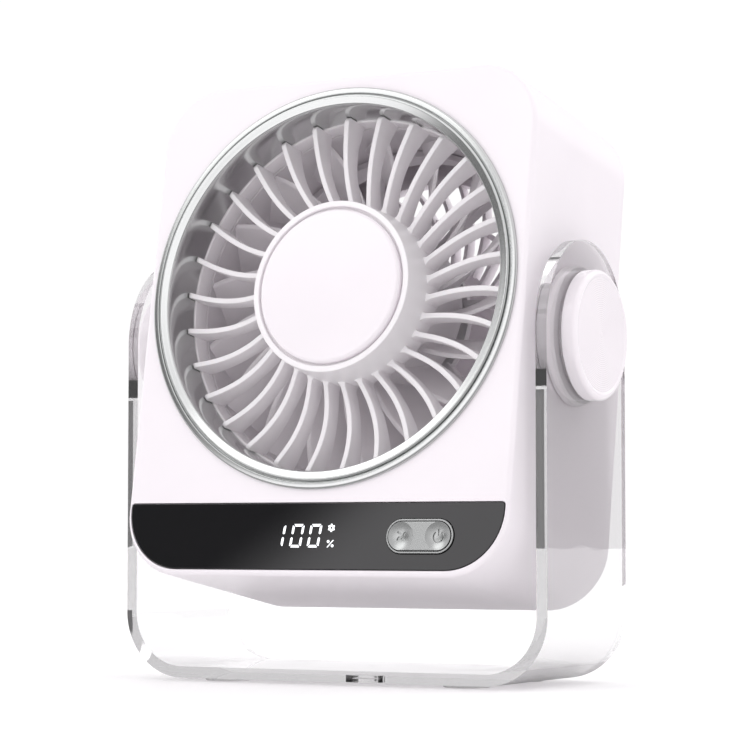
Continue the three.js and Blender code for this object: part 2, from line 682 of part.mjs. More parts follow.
function addPivot(parent, name, side) {
  const span = (a, b) => (side > 0 ? [a, b] : [-b, -a]);
  const armInner = STAND_W / 2 - STAND_T;
  const armOuter = STAND_W / 2;
  const screwHole = rodX(PIVOT_SCREW_R + GAP, span(60, 86), 0, 0, 12);
  const neck = rodX(NECK_R, span(HEAD_W / 2 - 4, armInner + 0.2), 0, 0, 20);
  const disc = rodX(ARM_HOLE_R - GAP, span(armInner, armOuter + 0.1), 0, 0, 32);
  place(parent, `trunnion_${name}`, cut(join(neck, disc), screwHole), materials.shell);
  const spacer = rodX(24, span(HEAD_W / 2 + GAP, armInner - GAP), 0, 0, 24);
  const spacerBore = rodX(NECK_R + GAP, span(60, 90), 0, 0, 20);
  place(parent, `spacer_washer_${name}`, cut(spacer, spacerBore), materials.inner);
  const edge = 1.6;
  const thick = KNOB_FACE_X - armOuter - GAP - 0.1;
  const profile = [
    [0, 0],
    [KNOB_R - 0.8, 0],
    [KNOB_R, 0.8],
    ...arc(KNOB_R - edge, thick - edge, edge, 0, 90, 3),
    [0, thick],
  ];
  const points = profile.map(([r, x]) => new THREE.Vector2(r, x));
  const knobGeometry = new THREE.LatheGeometry(points, 40).rotateZ((-side * Math.PI) / 2);
  knobGeometry.translate(side * (armOuter + GAP + 0.1), 0, 0);
  place(parent, `knob_${name}`, cut(solid(knobGeometry), screwHole), materials.shell);
  const bracket = block(span(68.2, 69.7), [-14, 14], [-12, 12]);
  place(parent, `pivot_bracket_${name}`, cut(bracket, screwHole), materials.steel);
  const head = rodX(3.4, span(65.9, 67.9), 0, 0, 16);
  const shank = rodX(PIVOT_SCREW_R, span(67.5, 85.5), 0, 0, 12);
  place(parent, `pivot_screw_${name}`, join(head, shank), materials.steel);
}

function screw(headR, headT, shankR, length) {
  const head = rodY(headR, [-headT, 0], 0, 0, 10);
  const shank = rodY(shankR, [-length, -headT + 0.1], 0, 0, 6);
  const slot = new THREE.BoxGeometry(headR * 1.2, 1.2, 0.7);
  const cross = slot.clone().rotateY(Math.PI / 2);
  return cut(join(head, shank), solid(slot), solid(cross));
}

function addScrews(parent) {
  coverScrewPlaces.forEach(([x, z], i) => {
    const at = [x, BACK_Y - GAP - 0.2, z];
    place(parent, `cover_screw_${i + 1}`, screw(2.6, 1.1, SCREW_R, 10), materials.steel, at);
  });
  linerScrewPlaces.forEach(([x, z], i) => {
    const at = [x, LINER_EAR[1] + GAP + 1.3, z];
    place(parent, `liner_screw_${i + 1}`, screw(2.4, 1.3, SCREW_R, 9), materials.steel, at);
  });
}

// ---- Assembly ----------------------------------------------------------------------------------

const fan = new THREE.Group();
addStand(fan);

const head = new THREE.Group();
head.position.z = PIVOT_Z;
head.rotation.x = -REST_TILT;
fan.add(head);

place(head, 'front_shell', frontShell(), materials.shell);
place(head, 'back_cover', backCover(), materials.shell);
const ductCentre = [0, 0, DUCT_Z];
place(head, 'trim_ring', trimRing(), materials.satin, ductCentre);
place(head, 'front_grille', frontGrille(), materials.shell, ductCentre);
place(head, 'hub_cap', hubCap(), materials.shell, ductCentre);
place(head, 'duct_liner', ductLiner(), materials.inner, ductCentre);
place(head, 'impeller', impeller(), materials.inner, ductCentre);
place(head, 'rear_grille', rearGrille(), materials.shell, ductCentre);
addMotor(head, ductCentre);
addControls(head);
addPower(head);
addPivot(head, 'left', -1);
addPivot(head, 'right', 1);
addScrews(head);

// The origin is under the middle of the whole object's box.
const bounds = new THREE.Box3().setFromObject(fan, true);
fan.position.y = -(bounds.min.y + bounds.max.y) / 2;

export default fan;
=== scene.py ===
# %% [markdown]
# # A tilting desk fan in a clear stand
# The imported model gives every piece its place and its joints. This notebook dresses it: visible
# pieces are remade with fine rounding, and every surface gets the finish of its real material.

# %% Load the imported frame
import json
import math

import bmesh
import bpy
from mathutils import Matrix, Vector


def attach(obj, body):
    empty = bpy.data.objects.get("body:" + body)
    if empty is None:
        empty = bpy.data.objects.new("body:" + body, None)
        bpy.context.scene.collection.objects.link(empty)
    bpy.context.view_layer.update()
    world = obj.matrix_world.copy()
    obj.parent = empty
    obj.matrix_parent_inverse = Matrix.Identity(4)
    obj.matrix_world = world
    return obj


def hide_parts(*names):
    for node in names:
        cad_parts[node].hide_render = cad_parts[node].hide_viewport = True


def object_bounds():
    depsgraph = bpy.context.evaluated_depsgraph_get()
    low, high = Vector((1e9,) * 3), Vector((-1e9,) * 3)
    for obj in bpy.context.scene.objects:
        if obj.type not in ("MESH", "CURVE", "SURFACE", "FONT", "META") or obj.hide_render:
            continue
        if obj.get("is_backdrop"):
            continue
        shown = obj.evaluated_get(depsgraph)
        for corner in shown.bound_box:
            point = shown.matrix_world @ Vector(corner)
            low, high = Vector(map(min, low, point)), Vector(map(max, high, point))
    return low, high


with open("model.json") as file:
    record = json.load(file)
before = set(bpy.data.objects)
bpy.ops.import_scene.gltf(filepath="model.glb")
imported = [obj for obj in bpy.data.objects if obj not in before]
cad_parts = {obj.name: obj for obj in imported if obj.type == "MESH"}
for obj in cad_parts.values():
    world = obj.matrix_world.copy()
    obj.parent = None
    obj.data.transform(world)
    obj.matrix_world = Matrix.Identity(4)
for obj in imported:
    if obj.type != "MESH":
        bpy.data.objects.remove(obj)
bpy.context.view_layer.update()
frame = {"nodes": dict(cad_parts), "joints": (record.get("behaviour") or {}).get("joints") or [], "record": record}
scene = bpy.context.scene

# %% [markdown]
# The camera comes first, because everything is judged through it. It stands low and to the fan's
# right, tilted slightly up, with a long lens, so that upright edges stay almost parallel.

# %% Camera
camera_data = bpy.data.cameras.new("camera")
camera_data.lens = 128.0
camera_data.sensor_width = 36.0
camera = bpy.data.objects.new("camera", camera_data)
camera.location = (0.4495, -0.8320, 0.0512)
camera.rotation_euler = (math.radians(90 + 3.424), 0, math.radians(28.483))
scene.collection.objects.link(camera)
scene.camera = camera
print("camera", camera.location[:], "lens", camera_data.lens)

# %% [markdown]
# ## The head's own axes
# The head leans back, so its pieces are drawn straight, in millimetres from the tilt axis (x to the
# right, y into the fan, z up along the face), and one matrix leans them. The matrix comes from the
# joints: the tilt hinge gives the place and the impeller's axis gives the lean.

# %% Head axes
MM = 0.001
joints = {joint["name"]: joint for joint in frame["joints"]}
pivot = Vector(joints["head_tilt"]["pos_m"])
air_axis = Vector(joints["impeller_spin"]["axis"])
rest_lean = math.atan2(-air_axis.z, air_axis.y)
HEAD = Matrix.Translation(pivot) @ Matrix.Rotation(-rest_lean, 4, "X")
print("the head leans back", round(math.degrees(rest_lean), 2), "degrees")


def box_of(node, axes=HEAD):
    """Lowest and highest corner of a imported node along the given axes, in millimetres."""
    inverse = axes.inverted()
    corners = [inverse @ vertex.co for vertex in frame["nodes"][node].data.vertices]
    return [Vector(map(pick, zip(*corners))) / MM for pick in (min, max)]


shell_low, shell_high = box_of("front_shell")
ring_low, ring_high = box_of("trim_ring")
FACE = shell_low.y
BACK = shell_high.y
DUCT_Z = (ring_low.z + ring_high.z) / 2
RING_R = (ring_high.x - ring_low.x) / 2
DUCT = HEAD @ Matrix.Translation((0, 0, DUCT_Z * MM))
print("face at", round(FACE, 2), "back at", round(BACK, 2), "air axis", round(DUCT_Z, 2), "up")

# %% [markdown]
# ## Drawing solids
# Two ways of drawing cover almost every piece. A **loft** joins outlines of equal point count, which
# suits moulded boxes and plates with rounded edges. A **turning** spins a profile, which suits rings,
# caps and knobs. Both give closed skins, so the Boolean modifier can join and cut them safely.


# %% Closed solids from loops of points
def solid(name, vertices, faces, place):
    """A mesh object drawn in millimetres and put in place, with its faces turned outwards."""
    mesh = bpy.data.meshes.new(name)
    mesh.from_pydata([Vector(v) * MM for v in vertices], [], faces)
    skin = bmesh.new()
    skin.from_mesh(mesh)
    bmesh.ops.recalc_face_normals(skin, faces=skin.faces)
    skin.to_mesh(mesh)
    skin.free()
    obj = bpy.data.objects.new(name, mesh)
    scene.collection.objects.link(obj)
    obj.matrix_world = place
    return obj


def loft(name, loops, place=HEAD, closed=False):
    """Joins each loop to the next one; the two ends are capped, or joined when closed."""
    count, total = len(loops[0]), len(loops)
    vertices = [point for loop in loops for point in loop]
    faces = []
    for i in range(total if closed else total - 1):
        a, b = i * count, (i + 1) % total * count
        for j in range(count):
            k = (j + 1) % count
            faces.append((a + j, a + k, b + k, b + j))
    if not closed:
        faces += [tuple(range(count))[::-1], tuple(range((total - 1) * count, total * count))]
    return solid(name, vertices, faces, place)


def turning(name, profile, steps, place=DUCT):
    """Spins (radius, y) points about the y axis. A profile that starts on the axis ends on it."""
    rings, vertices, faces = [], [], []
    for radius, y in profile:
        around = steps if radius else 1
        rings.append((len(vertices), around))
        for i in range(around):
            turn = 2 * math.pi * i / steps
            vertices.append((radius * math.cos(turn), y, radius * math.sin(turn)))
    pairs = list(zip(rings, rings[1:]))
    if profile[0][0]:
        pairs.append((rings[-1], rings[0]))
    for (a, a_count), (b, b_count) in pairs:
        for i in range(steps):
            j = (i + 1) % steps
            corners = (a + i % a_count, b + i % b_count, b + j % b_count, a + j % a_count)
            face = tuple(dict.fromkeys(corners))
            if len(face) > 2:
                faces.append(face)
    return solid(name, vertices, faces, place)


# %% [markdown]
# The Boolean modifier joins and cuts closed solids. Its Manifold solver is quick and keeps the skin
# closed, which the Exact solver only promises with more time. Afterwards a Bevel modifier breaks
# every sharp edge by a few tenths of a millimetre, as a mould or a polisher does, and Weighted
# Normal keeps the large flat faces looking flat beside it.


# %% Joining, cutting and edge finishing
def settle(obj):
    """Replaces a mesh by what its modifiers make of it."""
    graph = bpy.context.evaluated_depsgraph_get()
    made = bpy.data.meshes.new_from_object(obj.evaluated_get(graph))
    obj.modifiers.clear()
    obj.data = made
    return obj


def carve(obj, operation, *tools):
    """Joins ('UNION'), cuts ('DIFFERENCE') or keeps what is shared ('INTERSECT') with each tool."""
    for tool in tools:
        boolean = obj.modifiers.new("carve", "BOOLEAN")
        boolean.operation = operation
        boolean.solver = "MANIFOLD"
        boolean.object = tool
    settle(obj)
    for tool in tools:
        bpy.data.objects.remove(tool)
    return obj


def merged(name, parts):
    """Several separate solids as one object."""
    first = parts[0]
    with bpy.context.temp_override(active_object=first, selected_editable_objects=parts):
        bpy.ops.object.join()
    first.name = name
    return first


def rounded_edges(obj, width, segments=2, limit=35):
    """Breaks every edge sharper than the limit, by a width in millimetres."""
    bevel = obj.modifiers.new("edges", "BEVEL")
    bevel.width = width * MM
    bevel.segments = segments
    bevel.limit_method = "ANGLE"
    bevel.angle_limit = math.radians(limit)
    bevel.miter_outer = "MITER_ARC"
    bevel.use_clamp_overlap = True
    return settle(obj)


def finish(obj, body, material, nodes=(), crease=38):
    """Shades a piece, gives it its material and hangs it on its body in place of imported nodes."""
    obj.data.shade_smooth()
    obj.data.set_sharp_from_angle(angle=math.radians(crease))
    weighted = obj.modifiers.new("flat faces", "WEIGHTED_NORMAL")
    weighted.keep_sharp = True
    settle(obj)
    obj.data.materials.clear()
    obj.data.materials.append(material)
    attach(obj, body)
    if nodes:
        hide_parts(*nodes)
    print(f"{obj.name}: {len(obj.data.polygons)} faces")
    return obj


# %% [markdown]
# ## Outlines
# The head, its back cover and the display strip share one kind of outline: a rectangle with rounded
# corners. The key, its frame and the charging socket share another: two half circles joined by
# straight sides.


# %% Rounded outlines
def bow(cx, cz, radius, start, end, steps):
    """Points on part of a circle, from one angle to another, in degrees."""
    turns = [math.radians(start + (end - start) * i / steps) for i in range(steps + 1)]
    return [(cx + radius * math.cos(t), cz + radius * math.sin(t)) for t in turns]


def rounded_box(low, high, lower, upper, inset=0, steps=16):
    """A rectangle from low to high with its own radius at the lower and the upper corners."""
    x0, z0, x1, z1 = low[0] + inset, low[1] + inset, high[0] - inset, high[1] - inset
    outline = []
    for x, z, radius, start in (
        (x0, z0, lower, 180),
        (x1, z0, lower, 270),
        (x1, z1, upper, 0),
        (x0, z1, upper, 90),
    ):
        r = max(radius - inset, 0.05)
        cx = x + r if x == x0 else x - r
        cz = z + r if z == z0 else z - r
        outline += bow(cx, cz, r, start, start + 90, steps)
    return outline


def pill(x, z, length, height, steps=24):
    reach, radius = (length - height) / 2, height / 2
    right = bow(x + reach, z, radius, -90, 90, steps)
    left = bow(x - reach, z, radius, 90, 270, steps)
    return right + left


def at_depth(outline, y):
    return [(x, y, z) for x, z in outline]


def cushioned(make_outline, front, back, front_r, back_r=0, steps=8):
    """Loops of an outline from front to back, its two edges rounded by their own radii."""
    loops = []
    for edge, radius, sign in ((front, front_r, 1), (back, back_r, -1)):
        turns = [90 * i / steps for i in range(steps + 1)] if radius else [90]
        rows = []
        for turn in turns:
            t = math.radians(turn)
            inset, depth = radius * (1 - math.sin(t)), radius * (1 - math.cos(t))
            rows.append(at_depth(make_outline(inset), edge + sign * depth))
        loops += rows if sign > 0 else rows[::-1]
    return loops


def plate(name, make_outline, front, back, front_r=0, back_r=0, place=HEAD):
    return loft(name, cushioned(make_outline, front, back, front_r, back_r), place)


def bar(name, outline, front, back, place=HEAD):
    """An outline carried straight from front to back, mostly used as a cutting tool."""
    return loft(name, [at_depth(outline, front), at_depth(outline, back)], place)


def rod(name, radius, front, back, place, steps=96):
    return turning(name, [(0, front), (radius, front), (radius, back), (0, back)], steps, place)


# %% [markdown]
# ## Materials
# Every finish starts from a real material and from how its surface was made. Colours are given as
# sRGB hex values, the way a paint or plastics supplier gives them.


# %% Material tools
def linear(code):
    """An sRGB hex value as linear red, green, blue and alpha."""
    values = [int(code[i : i + 2], 16) / 255 for i in (1, 3, 5)]
    return (*[v / 12.92 if v <= 0.04045 else ((v + 0.055) / 1.055) ** 2.4 for v in values], 1)


def add(tree, kind, settings=None, links=None):
    """Adds a node. Settings fill its own values or sockets; links feed its sockets."""
    node = tree.nodes.new(kind)
    for key, value in (settings or {}).items():
        if isinstance(key, str) and hasattr(node, key):
            setattr(node, key, value)
        else:
            node.inputs[key].default_value = value
    for key, source in (links or {}).items():
        tree.links.new(source, node.inputs[key])
    return node


def new_material(name, **sockets):
    """A material with one Principled shader, its sockets set from keywords."""
    material = bpy.data.materials.new(name)
    material.use_nodes = True
    tree = material.node_tree
    shader = tree.nodes["Principled BSDF"]
    for key, value in sockets.items():
        shader.inputs[key.replace("_", " ")].default_value = value
    return material, tree, shader


# %% [markdown]
# ### White ABS
# The housing is injection-moulded ABS from a finely spark-eroded mould. That leaves a satin gloss
# with a grain of about 0.15 mm, too fine to see one by one, so it is drawn at 0.25 mm and very
# shallow. Filler and cooling make the white drift a little over a few centimetres.


# %% White ABS
def moulded_abs(name, light, dark, roughness, grain_mm, grain_depth_mm):
    material, tree, shader = new_material(name, IOR=1.53)
    spot = add(tree, "ShaderNodeTexCoord").outputs["Object"]
    drift = add(tree, "ShaderNodeTexNoise", {"Scale": 1 / (40 * MM), "Detail": 2.0}, {"Vector": spot})
    tint = add(tree, "ShaderNodeValToRGB", {}, {"Fac": drift.outputs["Fac"]})
    tint.color_ramp.elements[0].position = 0.3
    tint.color_ramp.elements[0].color = linear(dark)
    tint.color_ramp.elements[1].position = 0.7
    tint.color_ramp.elements[1].color = linear(light)
    tree.links.new(tint.outputs["Color"], shader.inputs["Base Color"])
    flow = add(tree, "ShaderNodeTexNoise", {"Scale": 1 / (9 * MM), "Detail": 3.0}, {"Vector": spot})
    gloss = add(
        tree,
        "ShaderNodeMapRange",
        {"To Min": roughness - 0.03, "To Max": roughness + 0.03},
        {"Value": flow.outputs["Fac"]},
    )
    tree.links.new(gloss.outputs["Result"], shader.inputs["Roughness"])
    grain = add(
        tree, "ShaderNodeTexNoise", {"Scale": 1 / (grain_mm * MM), "Detail": 1.0}, {"Vector": spot}
    )
    bump = add(
        tree,
        "ShaderNodeBump",
        {"Strength": 1.0, "Distance": grain_depth_mm * MM},
        {"Height": grain.outputs["Fac"]},
    )
    tree.links.new(bump.outputs["Normal"], shader.inputs["Normal"])
    return material


shell_white = moulded_abs("moulded_white_abs", "#F7F2F6", "#F4EFF3", 0.34, 0.25, 0.002)
cap_white = moulded_abs("polished_white_abs", "#F7F2F6", "#F5F0F4", 0.16, 0.6, 0.001)
fin_white = moulded_abs("grille_white_abs", "#F7F4F6", "#F4F1F3", 0.30, 0.25, 0.002)
knob_white = moulded_abs("turned_white_abs", "#F7F2F6", "#F5F0F4", 0.14, 0.3, 0.001)
inner_white = moulded_abs("matt_white_abs", "#ECE9EB", "#E6E2E5", 0.42, 0.35, 0.004)
black_nylon = moulded_abs("black_nylon", "#232427", "#1B1C1F", 0.45, 0.3, 0.006)

# %% [markdown]
# ### Satin chrome
# The ring and the key are plated ABS. The plating follows a vapour-blasted mould surface, so it
# mirrors softly. Nickel under the chrome warms it, and a faint blast grain breaks highlights.


# %% Satin chrome
def satin_plate(name, colour, roughness, grain_mm):
    material, tree, shader = new_material(name, Metallic=1.0, Base_Color=linear(colour))
    spot = add(tree, "ShaderNodeTexCoord").outputs["Object"]
    blast = add(
        tree, "ShaderNodeTexNoise", {"Scale": 1 / (grain_mm * MM), "Detail": 2.0}, {"Vector": spot}
    )
    gloss = add(
        tree,
        "ShaderNodeMapRange",
        {"To Min": roughness - 0.04, "To Max": roughness + 0.04},
        {"Value": blast.outputs["Fac"]},
    )
    tree.links.new(gloss.outputs["Result"], shader.inputs["Roughness"])
    bump = add(
        tree,
        "ShaderNodeBump",
        {"Strength": 0.6, "Distance": 0.0015 * MM},
        {"Height": blast.outputs["Fac"]},
    )
    tree.links.new(bump.outputs["Normal"], shader.inputs["Normal"])
    return material


ring_chrome = satin_plate("satin_chrome_on_abs", "#C8CAC9", 0.18, 0.35)
key_nickel = satin_plate("satin_nickel_on_abs", "#ABADAC", 0.27, 0.3)
zinc_steel = satin_plate("zinc_plated_steel", "#A9ACAF", 0.3, 0.5)

# %% [markdown]
# ### Clear acrylic
# The stand is polished acrylic, IOR 1.49. A clear solid shows mostly what it bends and mirrors, so
# its edges look dark and bright while its broad faces nearly vanish. Here it swallows a little under
# one percent of the light in each millimetre, far more than real acrylic does, so that edges, seen
# through their whole depth, look greyer than faces. Lamps have to reach what stands behind it: a
# Light Path switch lets their rays through, which Cycles would otherwise stop. The cast sheet is
# never perfectly flat, so a wave about 14 millimetres long moves its reflections.

# %% Clear acrylic
acrylic, acrylic_tree, acrylic_shader = new_material(
    "polished_acrylic",
    Base_Color=linear("#FEFEFE"),
    IOR=1.49,
    Roughness=0.0,
    Transmission_Weight=1.0,
)
acrylic_spot = add(acrylic_tree, "ShaderNodeTexCoord").outputs["Object"]
sheet_wave = add(
    acrylic_tree, "ShaderNodeTexNoise", {"Scale": 1 / (14 * MM), "Detail": 0.0}, {"Vector": acrylic_spot}
)
sheet_bump = add(
    acrylic_tree,
    "ShaderNodeBump",
    {"Strength": 0.4, "Distance": 0.02 * MM},
    {"Height": sheet_wave.outputs["Fac"]},
)
acrylic_tree.links.new(sheet_bump.outputs["Normal"], acrylic_shader.inputs["Normal"])
lamp_ray = add(acrylic_tree, "ShaderNodeLightPath").outputs["Is Shadow Ray"]
lamp_pass = add(acrylic_tree, "ShaderNodeBsdfTransparent", {"Color": linear("#F3EEF2")})
acrylic_mix = add(
    acrylic_tree,
    "ShaderNodeMixShader",
    {},
    {0: lamp_ray, 1: acrylic_shader.outputs["BSDF"], 2: lamp_pass.outputs["BSDF"]},
)
acrylic_tree.links.new(
    acrylic_mix.outputs["Shader"], acrylic_tree.nodes["Material Output"].inputs["Surface"]
)
DEPTH_GREY, DEPTH_PER_METRE = (0.84, 0.84, 0.84, 1), 45.0
acrylic_depth = add(
    acrylic_tree, "ShaderNodeVolumeAbsorption", {"Color": DEPTH_GREY, "Density": DEPTH_PER_METRE}
)
acrylic_tree.links.new(
    acrylic_depth.outputs["Volume"], acrylic_tree.nodes["Material Output"].inputs["Volume"]
)

# %% [markdown]
# ### Smoked display window
# Acrylic sheet dyed almost black, hard-coated and polished. Almost all that the eye gets is the
# mirror layer on top, so the base is near black and only a faint haze varies its gloss.

# %% Smoked window and display light
smoked, smoked_tree, smoked_shader = new_material(
    "smoked_acrylic", Base_Color=linear("#121214"), IOR=1.49, Coat_Weight=0.3, Coat_Roughness=0.02
)
smoked_spot = add(smoked_tree, "ShaderNodeTexCoord").outputs["Object"]
haze_pattern = {"Scale": 1 / (12 * MM), "Detail": 4.0}
haze = add(smoked_tree, "ShaderNodeTexNoise", haze_pattern, {"Vector": smoked_spot})
smoked_gloss = add(
    smoked_tree, "ShaderNodeMapRange", {"To Min": 0.015, "To Max": 0.035}, {"Value": haze.outputs["Fac"]}
)
smoked_tree.links.new(smoked_gloss.outputs["Result"], smoked_shader.inputs["Roughness"])

digit_light, digit_tree, digit_shader = new_material(
    "lit_diffuser", Base_Color=linear("#F4F7FA"), Roughness=0.5, Emission_Color=linear("#F6F9FC"),
    Emission_Strength=0.9,
)
digit_spot = add(digit_tree, "ShaderNodeTexCoord").outputs["Object"]
milk = add(digit_tree, "ShaderNodeTexNoise", {"Scale": 1 / (0.8 * MM)}, {"Vector": digit_spot})
milk_tint = add(
    digit_tree,
    "ShaderNodeMix",
    {"data_type": "RGBA", 6: linear("#F8FAFC"), 7: linear("#E8EDF2")},
    {0: milk.outputs["Fac"]},
)
digit_tree.links.new(milk_tint.outputs[2], digit_shader.inputs["Base Color"])

# %% [markdown]
# ## The stand
# The real stand is one strip of 4 mm acrylic: cut with round ends, drilled, flame-polished and
# folded hot over two formers. Here the folded strip is drawn as a U, its ends are rounded by
# keeping what it shares with an arch, and the pivot holes and the shallow round recess of the
# moulding gate are cut. A 0.4 mm bevel stands for the polished edges, which is where a clear sheet
# catches the light.

# %% Stand
stand_low, stand_high = box_of("stand_yoke", Matrix.Identity(4))
STAND = Matrix.Translation((0, pivot.y, 0))
QUARTER = math.pi / 2
AXLE = Matrix.Translation(pivot) @ Matrix.Rotation(-QUARTER, 4, "Z")
SHEET = 4.0
BEND_R = 23.0
half = stand_high.x
arch_r = (stand_high.y - stand_low.y) / 2
bend_x, bend_z = half - BEND_R, stand_low.z + BEND_R
inner_r = BEND_R - SHEET
u_outline = [
    (-half, stand_high.z),
    *bow(-bend_x, bend_z, BEND_R, 180, 270, 28),
    *bow(bend_x, bend_z, BEND_R, 270, 360, 28),
    (half, stand_high.z),
    (half - SHEET, stand_high.z),
    *bow(bend_x, bend_z, inner_r, 360, 270, 28),
    *bow(-bend_x, bend_z, inner_r, 270, 180, 28),
    (SHEET - half, stand_high.z),
]
pivot_z = pivot.z / MM
arch_outline = [(-arch_r, 0), (arch_r, 0), *bow(0, pivot_z, arch_r, 0, 180, 72)]
yoke = bar("clear_yoke", u_outline, -arch_r, arch_r, STAND)
arch = bar("arch", arch_outline, -half - 1, half + 1, STAND @ Matrix.Rotation(QUARTER, 4, "Z"))
carve(yoke, "INTERSECT", arch)
upright = STAND @ Matrix.Rotation(QUARTER, 4, "X")
GATE = {"r": 7.5, "y": 10, "depth": 1.2}
gate_place = Matrix.Translation((0, GATE["y"] * MM, 0)) @ upright
carve(
    yoke,
    "DIFFERENCE",
    rod("pivot_holes", 18.5, -half - 1, half + 1, AXLE, 128),
    rod("gate", GATE["r"], stand_low.z - 1, stand_low.z + GATE["depth"], gate_place, 64),
)
rounded_edges(yoke, 0.4, 3, 50)
finish(yoke, "stand", acrylic, ["stand_yoke"])

for node in ("front_left", "front_right", "rear_left", "rear_right"):
    low, high = box_of(f"foot_pad_{node}", Matrix.Identity(4))
    middle, radius = (low + high) / 2, (high.x - low.x) / 2
    place = Matrix.Translation((middle.x * MM, middle.y * MM, 0)) @ Matrix.Rotation(QUARTER, 4, "X")
    profile = [(0, 0), (radius - 0.5, 0), (radius - 0.1, 0.15), (radius, 0.4), (radius, high.z), (0, high.z)]
    pad = turning(f"pad_{node}", profile, 64, place)
    finish(pad, "stand", acrylic, [f"foot_pad_{node}"])

# %% [markdown]
# ## The housing
# Two mouldings make the housing: a deep front shell with the face, and a plate that closes its back.
# The shell is drawn as an outer and an inner loft, and cut for the ring's seat, the display strip's
# pocket and the two pivot necks.

# %% Front shell
CORNER_R = 22.0
SHELL_WALL = 2.4
GAP = 0.3
shell_corners = (shell_low.x, shell_low.z), (shell_high.x, shell_high.z)


def head_outline(inset):
    return rounded_box(*shell_corners, CORNER_R, CORNER_R, inset, 20)


window_low, window_high = box_of("display_window")
window_corners = (window_low.x, window_low.z), (window_high.x, window_high.z)
WINDOW_R = 20.5


def window_outline(inset):
    return rounded_box(*window_corners, WINDOW_R, 1.0, inset, 16)


key_low, key_high = box_of("key_bezel")
KEY_X, KEY_Z = (key_low.x + key_high.x) / 2, (key_low.z + key_high.z) / 2
KEY_LENGTH, KEY_HEIGHT = 25.0, 11.6
HEAD_AXLE = HEAD @ Matrix.Rotation(-QUARTER, 4, "Z")

housing = plate("front_housing", head_outline, FACE, BACK, 1.8, 1.2)
key_hole = pill(KEY_X, KEY_Z, KEY_LENGTH + 2 * GAP, KEY_HEIGHT + 2 * GAP)
carve(
    housing,
    "DIFFERENCE",
    plate("room", lambda inset: head_outline(inset + SHELL_WALL), FACE + 3, BACK + 1),
    plate("pocket", lambda inset: window_outline(inset - GAP), FACE - 1, FACE + 1.8),
    rod("ring_seat", 68.9, FACE - 1, FACE + 4, DUCT, 192),
    bar("key_hole", key_hole, FACE, FACE + 4),
    rod("neck_holes", 10.3, shell_low.x - 1, shell_high.x + 1, HEAD_AXLE, 64),
)
rounded_edges(housing, 0.2, 2, 50)
finish(housing, "head", shell_white, ["front_shell"])

# %% [markdown]
# The back plate is screwed in from behind. It is drawn as a plate with a rounded rim, and cut for
# the rear grille, the charging socket, its light and four countersunk screws.

# %% Back cover
cover_low, cover_high = box_of("back_cover")
rear_low, rear_high = box_of("rear_grille")
socket_low, socket_high = box_of("usb_socket")
light_low, light_high = box_of("charge_light_pipe")
socket_middle, light_middle = (socket_low + socket_high) / 2, (light_low + light_high) / 2
OPENING_R = (rear_high.x - rear_low.x) / 2 + GAP
cover = plate(
    "rear_cover", lambda inset: head_outline(inset + SHELL_WALL + GAP), cover_low.y, cover_high.y, 0.3, 0.6
)
socket_hole = pill(
    socket_middle.x,
    socket_middle.z,
    socket_high.x - socket_low.x + 2 * GAP,
    socket_high.z - socket_low.z + 2 * GAP,
)
cuts = [
    rod("opening", OPENING_R, cover_low.y - 1, cover_high.y + 1, DUCT, 160),
    bar("socket_hole", socket_hole, cover_low.y - 1, cover_high.y + 1),
]
light_place = HEAD @ Matrix.Translation((light_middle.x * MM, 0, light_middle.z * MM))
cuts.append(rod("light_hole", 1.5, cover_low.y - 1, cover_high.y + 1, light_place, 32))
screw_places = []
for i in range(1, 5):
    low, high = box_of(f"cover_screw_{i}")
    middle = (low + high) / 2
    place = HEAD @ Matrix.Translation((middle.x * MM, 0, middle.z * MM))
    screw_places.append((f"cover_screw_{i}", place, low.y, high.y))
    cuts.append(rod("shank", 1.5, cover_low.y - 1, cover_high.y + 1, place, 32))
    cuts.append(rod("counterbore", 2.9, cover_high.y - 1.6, cover_high.y + 1, place, 48))
carve(cover, "DIFFERENCE", *cuts)
rounded_edges(cover, 0.15, 2, 50)
finish(cover, "head", shell_white, ["back_cover"])

# %% [markdown]
# ## The air path
# Air comes in through the rear grille, is driven by the impeller, straightened by fixed fins, and
# leaves through the ring. The ring is a turning: a thin lip on the face, a groove, a broad crest that
# falls gently inwards and rolls over into the mouth, and a straight throat. Points are closer together
# where the metal is rolled, so its reflection stays smooth.

# %% Bell-mouth ring
THROAT_R = 64.4
CREST_R = 65.5
MOUTH_LENGTH = 6.4
PROUD = 1.8
CREST_DROP = 0.5
throat_back = ring_high.y
mouth = []
for i in range(33):
    turn = QUARTER * (1 - 0.97 * i / 32)
    radius = THROAT_R + (CREST_R - THROAT_R) * (1 - math.sin(turn))
    mouth.append((radius, FACE - PROUD + CREST_DROP + MOUTH_LENGTH * (1 - math.cos(turn))))
crest = [
    (65.9, FACE - 1.38),
    (66.4, FACE - 1.49),
    (66.9, FACE - 1.6),
    (67.4, FACE - 1.71),
    (67.8, FACE - 1.79),
    (68.1, FACE - 1.76),
]
ring_profile = [
    (THROAT_R, throat_back),
    *mouth,
    *crest,
    (68.35, FACE - 1.62),
    (68.52, FACE - 1.36),
    (68.6, FACE - 1.0),
    (68.64, FACE - 0.5),
    (68.86, FACE - 0.45),
    (68.92, FACE - 0.95),
    (69.05, FACE - 1.2),
    (69.3, FACE - 1.3),
    (70.5, FACE - 1.22),
    (70.9, FACE - 1.1),
    (71.1, FACE - 0.92),
    (RING_R, FACE - 0.7),
    (RING_R, FACE - 0.02),
    (68.6, FACE - 0.02),
    (68.6, FACE + 2.6),
    (66.2, FACE + 4.8),
    (66.2, throat_back),
]
bell = turning("bell_mouth_ring", ring_profile, 256)
finish(bell, "head", ring_chrome, ["trim_ring"], 42)

